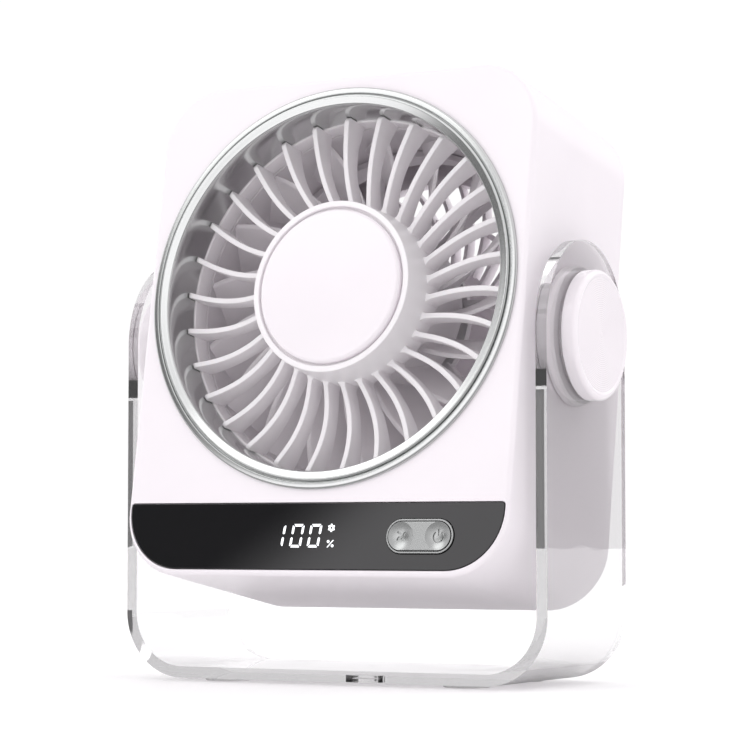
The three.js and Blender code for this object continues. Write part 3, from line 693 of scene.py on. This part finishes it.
# %% [markdown]
# A fin is a curved strip standing on the hub. Its section is a slim rectangle with rounded front
# corners, and the section is carried outwards along the fin's own bend, getting a little wider
# where it meets the hub, as a moulded fillet does. All fins are drawn as one mesh of separate
# solids and joined to the hub and the band in one Boolean.


# %% Fins and blades
def strips(name, count, phase, radii, thickness, angle, front, back, twist=0.0, nose=0.35):
    """Evenly spaced vanes about the air axis; each value is a function of the radius."""
    vertices, faces = [], []
    sections = []
    for r in radii:
        t, f, b = thickness(r) / 2, front(r), back(r)
        inwards = math.copysign(1, b - f)
        left = bow(nose - t, nose, nose, 180, 270, 3)
        right = bow(t - nose, nose, nose, 270, 360, 3)
        section = [(-t, b), *[(s, f + inwards * y) for s, y in left + right], (t, b)]
        sections.append([(r, angle(r) + s / r + twist * (y - f) / (b - f), y) for s, y in section])
    size = len(sections[0])
    for i in range(count):
        turn = math.radians(phase) + 2 * math.pi * i / count
        start = len(vertices)
        for section in sections:
            vertices += [(r * math.cos(a + turn), y, r * math.sin(a + turn)) for r, a, y in section]
        for row in range(len(sections) - 1):
            p, q = start + row * size, start + (row + 1) * size
            for j in range(size):
                k = (j + 1) % size
                faces.append((p + j, q + j, q + k, p + k))
        last = start + (len(sections) - 1) * size
        faces += [tuple(range(start, start + size)), tuple(range(last, last + size))[::-1]]
    return solid(name, vertices, faces, DUCT)


def spread(start, end, steps):
    return [start + (end - start) * i / steps for i in range(steps + 1)]


HUB_R = 30.5
HUB_ROOT_R = 31.3
CAP_R = 27.9
BAND_FRONT, BAND_BACK = FACE + 15.3, FACE + 22.7
FIN_TIP_R = THROAT_R - GAP


def fin_angle(r):
    s = (r - 48) / 16
    return math.radians(12.2 - 3.2 * s**2 + 1.1 * s**3)


def fin_front(r):
    tip = max(0, r - 62.6) / 1.5
    return FACE + 12.6 - 3.2 * ((r - 42) / 22) ** 2 + 1.0 * tip**2


def fin_back(r):
    return FACE + 19.3 + 2.2 * ((r - 46) / 18) ** 2


def fin_thickness(r):
    root = max(0, 1 - (r - HUB_ROOT_R) / 1.6)
    return 1.9 + 1.4 * root**2


drum_profile = [
    (0, FACE + 1.4),
    (CAP_R + 0.45, FACE + 1.4),
    (CAP_R + 0.45, FACE - 0.2),
    (CAP_R + 0.6, FACE - 0.38),
    (CAP_R + 0.85, FACE - 0.45),
    (HUB_R - 0.6, FACE - 0.45),
    (HUB_R - 0.2, FACE - 0.3),
    (HUB_R, FACE + 0.1),
    (HUB_ROOT_R, FACE + 12),
    (HUB_ROOT_R, FACE + 19.8),
    (HUB_ROOT_R - 2, FACE + 19.8),
    (HUB_ROOT_R - 2, FACE + 3.6),
    (0, FACE + 3.6),
]
grille = turning("finned_grille", drum_profile, 192)
band_profile = [
    (THROAT_R - 0.5, BAND_BACK),
    (THROAT_R - 0.5, BAND_FRONT + 0.3),
    (THROAT_R - 0.2, BAND_FRONT),
    (66.2, BAND_FRONT),
    (66.2, BAND_BACK),
]
band = turning("band", band_profile, 192)
fins = strips(
    "fins",
    30,
    0,
    [HUB_R - 0.3, *spread(31.0, 33.0, 4), *spread(35.0, 62.0, 14), 62.7, 63.2, 63.7, FIN_TIP_R],
    fin_thickness,
    fin_angle,
    fin_front,
    fin_back,
)
carve(grille, "UNION", band, fins)
finish(grille, "head", fin_white, ["front_grille"], 34)

# %% [markdown]
# The hub cap is polished harder than the rest and slightly domed. A narrow groove parts it from the
# hub drum.

# %% Hub cap
cap_low, cap_high = box_of("hub_cap")
CAP_DOME = 0.25
CAP_EDGE_R = 1.5
GROOVE = 0.6
cap_front = cap_low.y
cap_r = CAP_R - GROOVE
cap_profile = [(0, cap_front)]
for i in range(1, 13):
    r = (cap_r - CAP_EDGE_R) * i / 12
    cap_profile.append((r, cap_front + CAP_DOME * (i / 12) ** 2))
for i in range(1, 11):
    turn = QUARTER * i / 10
    depth = CAP_EDGE_R * (1 - math.cos(turn))
    cap_profile.append((cap_r - CAP_EDGE_R * (1 - math.sin(turn)), cap_front + CAP_DOME + depth))
cap_profile += [(cap_r, cap_high.y), (0, cap_high.y)]
cap = turning("polished_cap", cap_profile, 192)
finish(cap, "head", cap_white, ["hub_cap"], 40)

# %% [markdown]
# Behind the fins the impeller turns: a cup over the motor with seventeen swept blades. The liner
# around it is a plain tube, whose front rim makes the seam seen in the duct. Its screw ears are
# hidden behind it and left out.

# %% Impeller and duct liner
ROTOR_R = 29.5
BLADE_TIP_R = 62.6
BLADE_SWEEP = math.radians(17)


def blade_span(r):
    return (r - ROTOR_R) / (BLADE_TIP_R - ROTOR_R)


cup_front, cup_back = FACE + 20.2, FACE + 43
cup_profile = [
    (0, cup_front),
    (ROTOR_R - 2.4, cup_front),
    (ROTOR_R - 1.2, cup_front + 0.35),
    (ROTOR_R - 0.35, cup_front + 1.2),
    (ROTOR_R, cup_front + 2.4),
    (ROTOR_R, cup_back),
    (ROTOR_R - 2, cup_back),
    (ROTOR_R - 2, cup_front + 2.4),
    (5, cup_front + 2.4),
    (5, cup_front + 7),
    (0, cup_front + 7),
]
rotor = turning("impeller_wheel", cup_profile, 144)
blades = strips(
    "blades",
    17,
    2.4,
    [ROTOR_R - 0.8, ROTOR_R + 0.4, *spread(ROTOR_R + 1.6, BLADE_TIP_R, 10)],
    lambda r: 1.9 + 1.0 * max(0, 1 - (r - ROTOR_R) / 1.6) ** 2,
    lambda r: BLADE_SWEEP * (blade_span(r) - 1),
    lambda r: FACE + 22.5 + 1.2 * (1 - blade_span(r)),
    lambda r: FACE + 42 - 3 * blade_span(r),
    math.radians(14),
    0.5,
)
carve(rotor, "UNION", blades)
shaft_bore = rod("bore", 2.3, cup_front + 2.4, cup_front + 9, DUCT, 32)
carve(rotor, "DIFFERENCE", shaft_bore)
finish(rotor, "impeller", inner_white, ["impeller"], 34)

LINER_R, LINER_OUTER_R = 63.6, 65.6
liner_high = box_of("duct_liner")[1]
liner_profile = [
    (LINER_R, liner_high.y),
    (LINER_R, BAND_BACK + 0.6),
    (LINER_R + 0.3, BAND_BACK + 0.3),
    (LINER_OUTER_R, BAND_BACK + 0.3),
    (LINER_OUTER_R, liner_high.y),
]
liner = turning("air_duct", liner_profile, 160)
finish(liner, "head", inner_white, ["duct_liner"], 34)

# %% [markdown]
# The motor mount carries the stator on seven curved struts, and the rear grille keeps fingers out
# with radial slats between a boss, a hoop and a rim. Both are made like the front grille.

# %% Motor mount and rear grille
sleeve_profile = [(6.3, FACE + 28), (7.7, FACE + 28), (7.7, FACE + 56), (6.3, FACE + 56)]
sleeve = turning("motor_carrier", sleeve_profile, 64)
hub_plate = turning("hub_plate", [(6.5, FACE + 53), (27, FACE + 53), (27, FACE + 56), (6.5, FACE + 56)], 96)
rim_profile = [(61.3, FACE + 50), (63.3, FACE + 50), (63.3, FACE + 60), (61.3, FACE + 60)]
mount_rim = turning("mount_rim", rim_profile, 128)
struts = strips(
    "struts",
    7,
    12,
    spread(26.5, 62, 8),
    lambda r: 2.4,
    lambda r: -0.006 * (r - 26),
    lambda r: FACE + 50.5,
    lambda r: FACE + 56,
    0.0,
    0.6,
)
carve(sleeve, "UNION", hub_plate, mount_rim, struts)
finish(sleeve, "head", inner_white, ["motor_mount"], 34)

BOSS_R, HOOP_R, GUARD_RIM_R = 28.0, 43.0, 59.7
slat_front, slat_back = rear_low.y, rear_high.y
boss_front = slat_back - 3
boss_profile = [
    (0, boss_front),
    (BOSS_R, boss_front),
    (BOSS_R, slat_back - 1.2),
    *bow(BOSS_R - 1.2, slat_back - 1.2, 1.2, 8, 90, 7),
    (BOSS_R - 5, slat_back),
    (BOSS_R - 5.5, slat_back - 0.5),
    (0, slat_back - 0.8),
]
guard = turning("rear_guard", boss_profile, 144)
hoop_profile = [
    (HOOP_R - 1, slat_back - 0.45),
    (HOOP_R - 1, boss_front),
    (HOOP_R + 1, boss_front),
    (HOOP_R + 1, slat_back - 0.45),
    (HOOP_R + 0.6, slat_back - 0.04),
    (HOOP_R - 0.6, slat_back - 0.04),
]
hoop = turning("hoop", hoop_profile, 144)
guard_rim_profile = [
    (GUARD_RIM_R - 2.7, slat_back - 0.4),
    (GUARD_RIM_R - 2.7, slat_front),
    (GUARD_RIM_R, slat_front),
    (GUARD_RIM_R, slat_back),
    (GUARD_RIM_R - 2.3, slat_back),
]
guard_rim = turning("guard_rim", guard_rim_profile, 160)
slats = strips(
    "slats",
    36,
    0,
    spread(BOSS_R - 0.5, 58, 12),
    lambda r: 1.5,
    lambda r: 0.012 * (r - BOSS_R),
    lambda r: slat_back - 0.06,
    lambda r: slat_front + 0.1,
    0.0,
    0.35,
)
carve(guard, "UNION", hoop, guard_rim, slats)
finish(guard, "head", shell_white, ["rear_grille"], 34)

# %% [markdown]
# ## Display strip
# The strip is one smoked sheet, let into the face. Three slanted seven-segment digits, a small
# flower mark for the breeze and a percent sign shine through it; they are drawn as thin lit plates
# that stand a few hundredths of a millimetre proud. The real maker's lettering is left out.

# %% Display window and digits
window = plate("smoked_window", window_outline, window_low.y, window_high.y, 0.25)
carve(window, "DIFFERENCE", bar("key_hole", key_hole, window_low.y - 1, window_high.y + 1))
finish(window, "head", smoked, ["display_window"])

SLANT = math.tan(math.radians(7))
DIGIT_Z = -74.5
UPRIGHT = [(2.28, 3.45), (1.95, 3.5), (1.42, 2.85), (1.45, 0.8), (1.85, 0.48), (2.28, 0.85)]
LEVEL = [(-1.75, 4.0), (1.75, 4.0), (1.2, 3.14), (-1.2, 3.14)]


def mirrored(points, sx, sz):
    flipped = [(sx * x, sz * z) for x, z in points]
    return flipped if sx * sz > 0 else flipped[::-1]


def lit(name, points, x, z, slant=SLANT):
    outline = [(x + px + slant * pz, z + pz) for px, pz in points]
    return bar(name, outline, window_low.y - 0.06, window_low.y + 0.3)


lit_parts = [lit("digit", mirrored(UPRIGHT, 1, side), -11.85, DIGIT_Z) for side in (1, -1)]
for digit_x in (-4.7, 2.2):
    for side in (1, -1):
        lit_parts.append(lit("digit", mirrored(UPRIGHT, 1, side), digit_x, DIGIT_Z))
        lit_parts.append(lit("digit", mirrored(UPRIGHT, -1, side), digit_x, DIGIT_Z))
        lit_parts.append(lit("digit", mirrored(LEVEL, 1, side), digit_x, DIGIT_Z))
MARK_X, FLOWER_Z, PERCENT_Z = 8.5, -71.8, -77.2
petals = []
for i in range(72):
    turn = 2 * math.pi * i / 72
    petals.append((MARK_X, turn, 1.22 + 0.2 * math.cos(6 * turn)))
flower = bar(
    "flower",
    [(x + r * math.sin(t), FLOWER_Z + r * math.cos(t)) for x, t, r in petals][::-1],
    window_low.y - 0.06,
    window_low.y + 0.3,
)
eye = bar("eye", bow(MARK_X, FLOWER_Z, 0.42, 0, 300, 5), window_low.y - 1, window_low.y + 1)
carve(flower, "DIFFERENCE", eye)
lit_parts.append(flower)
percent_stroke = [(-1.3, -1.25), (-0.85, -1.25), (1.3, 1.25), (0.85, 1.25)]
lit_parts.append(lit("stroke", percent_stroke, MARK_X, PERCENT_Z, 0))
for side in (1, -1):
    dot = bow(0.85 * side, -0.72 * side, 0.5, 0, 345, 23)
    lit_parts.append(lit("dot", dot, MARK_X, PERCENT_Z, 0))
digits = merged("lit_digits", lit_parts)
finish(digits, "head", digit_light, ["led_display"])

# %% [markdown]
# ## Rocker key
# One plated key rocks on a pin: its left dish steps the speed, its right dish switches the power.
# A thin frame surrounds it. The dishes are cut with a large ball, as a toolmaker would, and the two
# generic icons are engraved into them.

# %% Key and frame
KEY_WALL = 0.6
key_frame = plate(
    "key_frame",
    lambda inset: pill(KEY_X, KEY_Z, KEY_LENGTH - 2 * inset, KEY_HEIGHT - 2 * inset),
    FACE - 0.5,
    FACE + 3.2,
    0.22,
)
frame_bore = pill(KEY_X, KEY_Z, KEY_LENGTH - 2 * KEY_WALL, KEY_HEIGHT - 2 * KEY_WALL)
carve(key_frame, "DIFFERENCE", bar("bore", frame_bore, FACE - 2, FACE + 5))
rounded_edges(key_frame, 0.12, 2, 50)
finish(key_frame, "head", key_nickel, ["key_bezel"])

CAP_GAP = 0.3
cap_length = KEY_LENGTH - 2 * (KEY_WALL + CAP_GAP)
cap_height = KEY_HEIGHT - 2 * (KEY_WALL + CAP_GAP)
KEY_FRONT = FACE - 0.9
DISH_R, DISH_DEPTH, DISH_X = 4.8, 0.9, 6.95
ball_r = (DISH_R**2 + DISH_DEPTH**2) / (2 * DISH_DEPTH)
ball_y = KEY_FRONT + DISH_DEPTH - ball_r
rocker = plate(
    "rocker",
    lambda inset: pill(KEY_X, KEY_Z, cap_length - 2 * inset, cap_height - 2 * inset, 40),
    KEY_FRONT,
    FACE + 2.2,
    0.35,
)


def key_place(x):
    return HEAD @ Matrix.Translation((x * MM, 0, KEY_Z * MM))


ball_profile = [(0, ball_y + ball_r)]
for r in spread(0.4, DISH_R + 0.6, 14):
    ball_profile.append((r, ball_y + math.sqrt(ball_r**2 - r**2)))
ball_profile += [(DISH_R + 0.6, KEY_FRONT - 3), (0, KEY_FRONT - 3)]
dishes = [turning("dish", ball_profile[::-1], 96, key_place(KEY_X + side * DISH_X)) for side in (-1, 1)]
carve(rocker, "DIFFERENCE", *dishes)
rounded_edges(rocker, 0.18, 3, 24)
engraved = KEY_FRONT + DISH_DEPTH + 0.25
arc = bow(0, -0.2, 2.1, 125, 415, 40) + bow(0, -0.2, 1.55, 415, 125, 40)
power_x, breeze_x = KEY_X + DISH_X, KEY_X - DISH_X
icons = [
    bar("arc", [(power_x + x, KEY_Z + z) for x, z in arc], KEY_FRONT - 1, engraved),
    bar(
        "stroke",
        [(power_x + x, KEY_Z + z) for x, z in ((-0.27, 0.2), (0.27, 0.2), (0.27, 2.4), (-0.27, 2.4))],
        KEY_FRONT - 1,
        engraved,
    ),
]
for i in range(4):
    turn = math.radians(35 + 90 * i)
    leaf = []
    for j in range(28):
        t = 2 * math.pi * j / 28
        along, across = 1.3 + 0.8 * math.cos(t), 0.42 * math.sin(t) + 0.3 * math.cos(t)
        x = along * math.cos(turn) - across * math.sin(turn)
        z = along * math.sin(turn) + across * math.cos(turn)
        leaf.append((breeze_x + x, KEY_Z + z))
    icons.append(bar("leaf", leaf, KEY_FRONT - 1, engraved))
carve(rocker, "DIFFERENCE", *icons)
finish(rocker, "key", key_nickel, ["rocker_key"], 34)

# %% [markdown]
# ## Side pivots
# On each side a neck leaves the head, passes a spacer, and ends in a disc that turns in the arm's
# hole. The knob is screwed to it from inside. Its outer face is turned on a lathe: fine rings, drawn
# here at 0.7 mm because the real 0.2 mm would not show, which spread highlights into wedges.

# %% Pivots and knobs
KNOB_R = 22.2
RING_PITCH, RING_DEPTH = 0.7, 0.1
for side_name, turn in (("left", QUARTER), ("right", -QUARTER)):
    axle = HEAD @ Matrix.Rotation(turn, 4, "Z")
    knob_low, knob_high = box_of(f"knob_{side_name}", axle)
    back, front = knob_low.y, knob_high.y
    profile = [(0, front - 0.25)]
    ring_count = int((KNOB_R - 3.2) / RING_PITCH)
    for i in range(ring_count * 4):
        r = 0.8 + i * RING_PITCH / 4
        wave = RING_DEPTH * (1 - math.cos(2 * math.pi * i / 4)) / 2
        profile.append((r, front - 0.25 - wave))
    profile += [(r, front + y) for r, y in ((19.7, -0.25), (19.95, -0.12), (20.2, -0.03), (20.5, 0))]
    profile += bow(KNOB_R - 1.7, front - 1.7, 1.7, 84, 0, 9)
    profile += [(KNOB_R, back + 0.6), (KNOB_R - 0.15, back + 0.2), (KNOB_R - 0.5, back), (0, back)]
    knob = turning(f"turned_knob_{side_name}", profile[::-1], 160, axle)
    finish(knob, "head", knob_white, [f"knob_{side_name}"], 34)

    arm_in, arm_out = half - SHEET, half
    neck_in = shell_high.x - 4
    trunnion_profile = [(0, neck_in), (10, neck_in), (10, arm_in), (17.9, arm_in), (18.2, arm_in + 0.3),
                        (18.2, arm_out - 0.2), (17.9, arm_out + 0.1), (0, arm_out + 0.1)]
    trunnion = turning(f"pivot_disc_{side_name}", trunnion_profile, 96, axle)
    finish(trunnion, "head", shell_white, [f"trunnion_{side_name}"])
    spacer_in, spacer_out = shell_high.x + GAP, arm_in - GAP
    spacer_profile = [(10.3, spacer_in), (23.5, spacer_in), (24, spacer_in + 0.4), (24, spacer_out - 0.8),
                      (23.2, spacer_out), (10.3, spacer_out)]
    spacer = turning(f"pivot_spacer_{side_name}", spacer_profile, 96, axle)
    finish(spacer, "head", inner_white, [f"spacer_washer_{side_name}"])

# %% [markdown]
# ## Screws and the charging socket
# The back shows four cross-recessed screws in their counterbores and a charging socket: a drawn
# steel can, rolled at its mouth, with a tongue that carries the contacts.

# %% Screws and socket
for name, place, tip, top in screw_places:
    head_profile = [(0, top), (1.6, top - 0.04), (2.2, top - 0.2), (2.55, top - 0.5), (2.6, top - 1.1),
                    (1.2, top - 1.1), (1.2, tip + 1), (0.2, tip), (0, tip)]
    screw = turning(name.replace("cover", "back"), head_profile, 48, place)
    slots = []
    for quarter in range(2):
        a, b = (1.5, 0.32) if quarter else (0.32, 1.5)
        cross = [(-a, -b), (a, -b), (a, b), (-a, b)]
        slots.append(bar("slot", cross, top - 0.8, top + 1, place))
    carve(screw, "DIFFERENCE", *slots)
    finish(screw, "head", zinc_steel, [name], 34)

width, height = socket_high.x - socket_low.x, socket_high.z - socket_low.z


def socket_outline(inset):
    return pill(socket_middle.x, socket_middle.z, width - 2 * inset, height - 2 * inset, 20)


can = plate("socket_can", socket_outline, socket_low.y, socket_high.y, 0.4, 0.12)
carve(can, "DIFFERENCE", plate("bore", lambda inset: socket_outline(inset + 0.3), socket_low.y + 0.5, BACK))
finish(can, "head", zinc_steel, ["usb_socket"])
tongue_low, tongue_high = box_of("usb_tongue")


def tongue_outline(inset):
    low, high = (tongue_low.x, tongue_low.z), (tongue_high.x, tongue_high.z)
    return rounded_box(low, high, 0.3, 0.3, inset, 6)


tongue = plate("socket_tongue", tongue_outline, tongue_low.y, tongue_high.y, 0, 0.15)
finish(tongue, "head", black_nylon, ["usb_tongue"])
pipe_r = (light_high.x - light_low.x) / 2
pipe_profile = [(0, light_low.y), (pipe_r, light_low.y), (pipe_r, light_high.y - 0.3),
                (pipe_r - 0.15, light_high.y - 0.08), (pipe_r - 0.4, light_high.y), (0, light_high.y)]
pipe = turning("light_pipe", pipe_profile, 40, light_place)
finish(pipe, "head", acrylic, ["charge_light_pipe"])

# %% [markdown]
# ## What stays inside
# The motor, cells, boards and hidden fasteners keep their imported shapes. They only show through
# gaps, and get the finish of their real material.

# %% Finishes of the inner pieces
copper, copper_tree, copper_shader = new_material(
    "enamelled_copper", Base_Color=linear("#B5652F"), Metallic=1.0, Roughness=0.35
)
copper_spot = add(copper_tree, "ShaderNodeTexCoord").outputs["Object"]
wire = add(
    copper_tree,
    "ShaderNodeTexWave",
    {"Scale": 0.5 / (0.4 * MM) / 3.14, "bands_direction": "Y"},
    {"Vector": copper_spot},
)
wire_bump = add(
    copper_tree, "ShaderNodeBump", {"Distance": 0.1 * MM, "Strength": 0.8}, {"Height": wire.outputs["Fac"]}
)
copper_tree.links.new(wire_bump.outputs["Normal"], copper_shader.inputs["Normal"])

ferrite = moulded_abs("sintered_ferrite", "#424347", "#333437", 0.6, 0.4, 0.01)
epoxy_board = moulded_abs("solder_mask_green", "#1F5A3C", "#174A31", 0.4, 0.5, 0.004)
cell_sleeve = moulded_abs("shrink_sleeve_blue", "#3F7FAE", "#3A78A6", 0.3, 0.9, 0.006)
finish_of_slot = {
    "clear_acrylic": acrylic,
    "white_shell": shell_white,
    "inner_plastic": inner_white,
    "satin_chrome": ring_chrome,
    "satin_key": key_nickel,
    "smoked_window": smoked,
    "steel": zinc_steel,
    "copper_winding": copper,
    "magnet": ferrite,
    "circuit_board": epoxy_board,
    "cell_sleeve": cell_sleeve,
    "black_plastic": black_nylon,
    "led_diffuser": digit_light,
}
for subpart in frame["record"]["subparts"]:
    mesh = frame["nodes"][subpart["node"]].data
    mesh.materials.clear()
    mesh.materials.append(finish_of_slot[subpart["material_slot"]])
print(len(finish_of_slot), "finishes given to the packed pieces")

# %% [markdown]
# ## Studio
# A pale floor in a white room. White plastic wants even light, but chrome and clear acrylic only show
# the contrasts around them, so the room also holds a few soft cards, brighter or darker than the
# walls. Each is a rounded patch of directions; angles are in degrees round from the fan's front,
# towards its right, and up. The floor and the room go by the kind of ray: the floor glows more where
# it is looked at, and is darker in mirrors, and the room behind the fan is plain white.

# %% Floor
floor_mesh = bpy.data.meshes.new("floor")
floor_mesh.from_pydata([(-8, -8, 0), (8, -8, 0), (8, 8, 0), (-8, 8, 0)], [], [(0, 1, 2, 3)])
floor = bpy.data.objects.new("floor", floor_mesh)
scene.collection.objects.link(floor)
floor.location.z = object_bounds()[0].z - 0.00002
floor_paint, floor_tree, floor_shader = new_material(
    "pale_floor", Roughness=0.7, Emission_Color=linear("#FFFFFF")
)
path = add(floor_tree, "ShaderNodeLightPath").outputs
only_mirrored = add(
    floor_tree,
    "ShaderNodeMath",
    {"operation": "SUBTRACT", "use_clamp": True},
    {0: path["Is Glossy Ray"], 1: path["Is Transmission Ray"]},
)
mirrored_floor = add(
    floor_tree,
    "ShaderNodeMix",
    {"data_type": "RGBA", 6: linear("#EFEFEF"), 7: linear("#A0A0A0")},
    {0: only_mirrored.outputs[0]},
)
floor_tree.links.new(mirrored_floor.outputs[2], floor_shader.inputs["Base Color"])
GLOW, GLOW_LOOKED_AT, GLOW_THROUGH_ACRYLIC = 0.12, 0.06, 0.04
direct = add(
    floor_tree,
    "ShaderNodeMath",
    {"operation": "MULTIPLY_ADD", 1: GLOW_LOOKED_AT, 2: GLOW},
    {0: path["Is Camera Ray"]},
)
floor_glow = add(
    floor_tree,
    "ShaderNodeMath",
    {"operation": "MULTIPLY_ADD", 1: GLOW_THROUGH_ACRYLIC},
    {0: path["Is Transmission Ray"], 2: direct.outputs[0]},
)
floor_tree.links.new(floor_glow.outputs[0], floor_shader.inputs["Emission Strength"])
floor_mesh.materials.append(floor_paint)
floor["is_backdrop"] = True

# %% Room and cards
world = bpy.data.worlds.new("studio")
scene.world = world
world.use_nodes = True
tree = world.node_tree
tree.nodes.clear()
direction = add(tree, "ShaderNodeTexCoord").outputs["Generated"]
ROOM = 1.02


def card(around, up, half_width, half_height, soft, roll=0):
    """1 inside a soft-edged patch of directions, 0 outside it. Sizes are parts of the unit sphere."""
    a, e, r = math.radians(around), math.radians(up), math.radians(roll)
    centre = Vector((math.sin(a) * math.cos(e), -math.cos(a) * math.cos(e), math.sin(e)))
    level = centre.cross(Vector((0, 0, 1))).normalized()
    upright = level.cross(centre)
    side = level * math.cos(r) + upright * math.sin(r)
    shown = None
    for axis, reach in ((side, half_width), (side.cross(centre), half_height)):
        along = add(tree, "ShaderNodeVectorMath", {"operation": "DOT_PRODUCT", 1: axis}, {0: direction})
        size = add(tree, "ShaderNodeMath", {"operation": "ABSOLUTE"}, {0: along.outputs["Value"]})
        edge = add(
            tree,
            "ShaderNodeMapRange",
            {"interpolation_type": "SMOOTHSTEP", "From Min": reach + soft, "From Max": reach - soft},
            {"Value": size.outputs["Value"]},
        ).outputs["Result"]
        if shown:
            edge = add(tree, "ShaderNodeMath", {"operation": "MULTIPLY"}, {0: shown, 1: edge}).outputs[0]
        shown = edge
    ahead = add(tree, "ShaderNodeVectorMath", {"operation": "DOT_PRODUCT", 1: centre}, {0: direction})
    facing = add(tree, "ShaderNodeMath", {"operation": "GREATER_THAN", 1: 0.0}, {0: ahead.outputs["Value"]})
    return add(tree, "ShaderNodeMath", {"operation": "MULTIPLY"}, {0: shown, 1: facing.outputs[0]}).outputs[0]


CARDS = {
    "front_softbox": (0.70, (-24, 10.6, 0.155, 0.36, 0.012, 40)),
    "left_flag": (-0.86, (-38.8, 22.4, 0.155, 0.30, 0.012, 40)),
    "left_softbox": (0.20, (-100, 20, 0.35, 0.40, 0.12)),
    "right_flag": (-0.65, (34, 8, 0.28, 0.34, 0.12)),
    "back_right_softbox": (0.30, (125, 40, 0.30, 0.25, 0.15)),
    "back_right_flag": (-0.80, (150, 2, 0.20, 0.13, 0.04)),
    "rim_strip": (2.0, (150, 42, 0.10, 0.40, 0.05)),
    "overhead_softbox": (0.20, (60, 80, 0.40, 0.40, 0.15)),
}
glow = None
for name, (strength, place) in CARDS.items():
    settings, links = {"operation": "MULTIPLY_ADD", 1: strength, 2: ROOM}, {0: card(*place)}
    if glow:
        links[2] = glow
    glow = add(tree, "ShaderNodeMath", settings, links).outputs[0]
    print(name, strength)
room = add(tree, "ShaderNodeMath", {"operation": "MAXIMUM", 1: 0.03}, {0: glow})
painted = add(tree, "ShaderNodeBackground", {"Color": linear("#FFFDFF")}, {"Strength": room.outputs[0]})
plain = add(tree, "ShaderNodeBackground", {"Color": linear("#FFFFFF"), "Strength": 1.02})
seen = add(tree, "ShaderNodeLightPath").outputs["Is Camera Ray"]
mix = add(
    tree,
    "ShaderNodeMixShader",
    {},
    {0: seen, 1: painted.outputs["Background"], 2: plain.outputs["Background"]},
)
add(tree, "ShaderNodeOutputWorld", {}, {"Surface": mix.outputs["Shader"]})

# %% Lamp and film
lamp_data = bpy.data.lights.new("key_lamp", "AREA")
lamp_data.shape = "DISK"
lamp_data.size = 0.9
lamp_data.energy = 3.2
lamp = bpy.data.objects.new("key_lamp", lamp_data)
scene.collection.objects.link(lamp)
lamp.location = (-0.9, -1.2, 1.2)
lamp.rotation_euler = (pivot - lamp.location).to_track_quat("-Z", "Y").to_euler()
scene.view_settings.view_transform = "Standard"
scene.cycles.use_denoising = True
scene.cycles.max_bounces = 16
scene.cycles.diffuse_bounces = 6
scene.cycles.glossy_bounces = 16
scene.cycles.transmission_bounces = 16
scene.cycles.transparent_max_bounces = 12

# %% [markdown]
# The dressed model's box is printed, in millimetres. The dressed model has to stay inside
# the imported model's box.

# %% Print the dressed box
low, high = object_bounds()
print("dressed box", [round(v / MM, 1) for v in high - low], "mm")
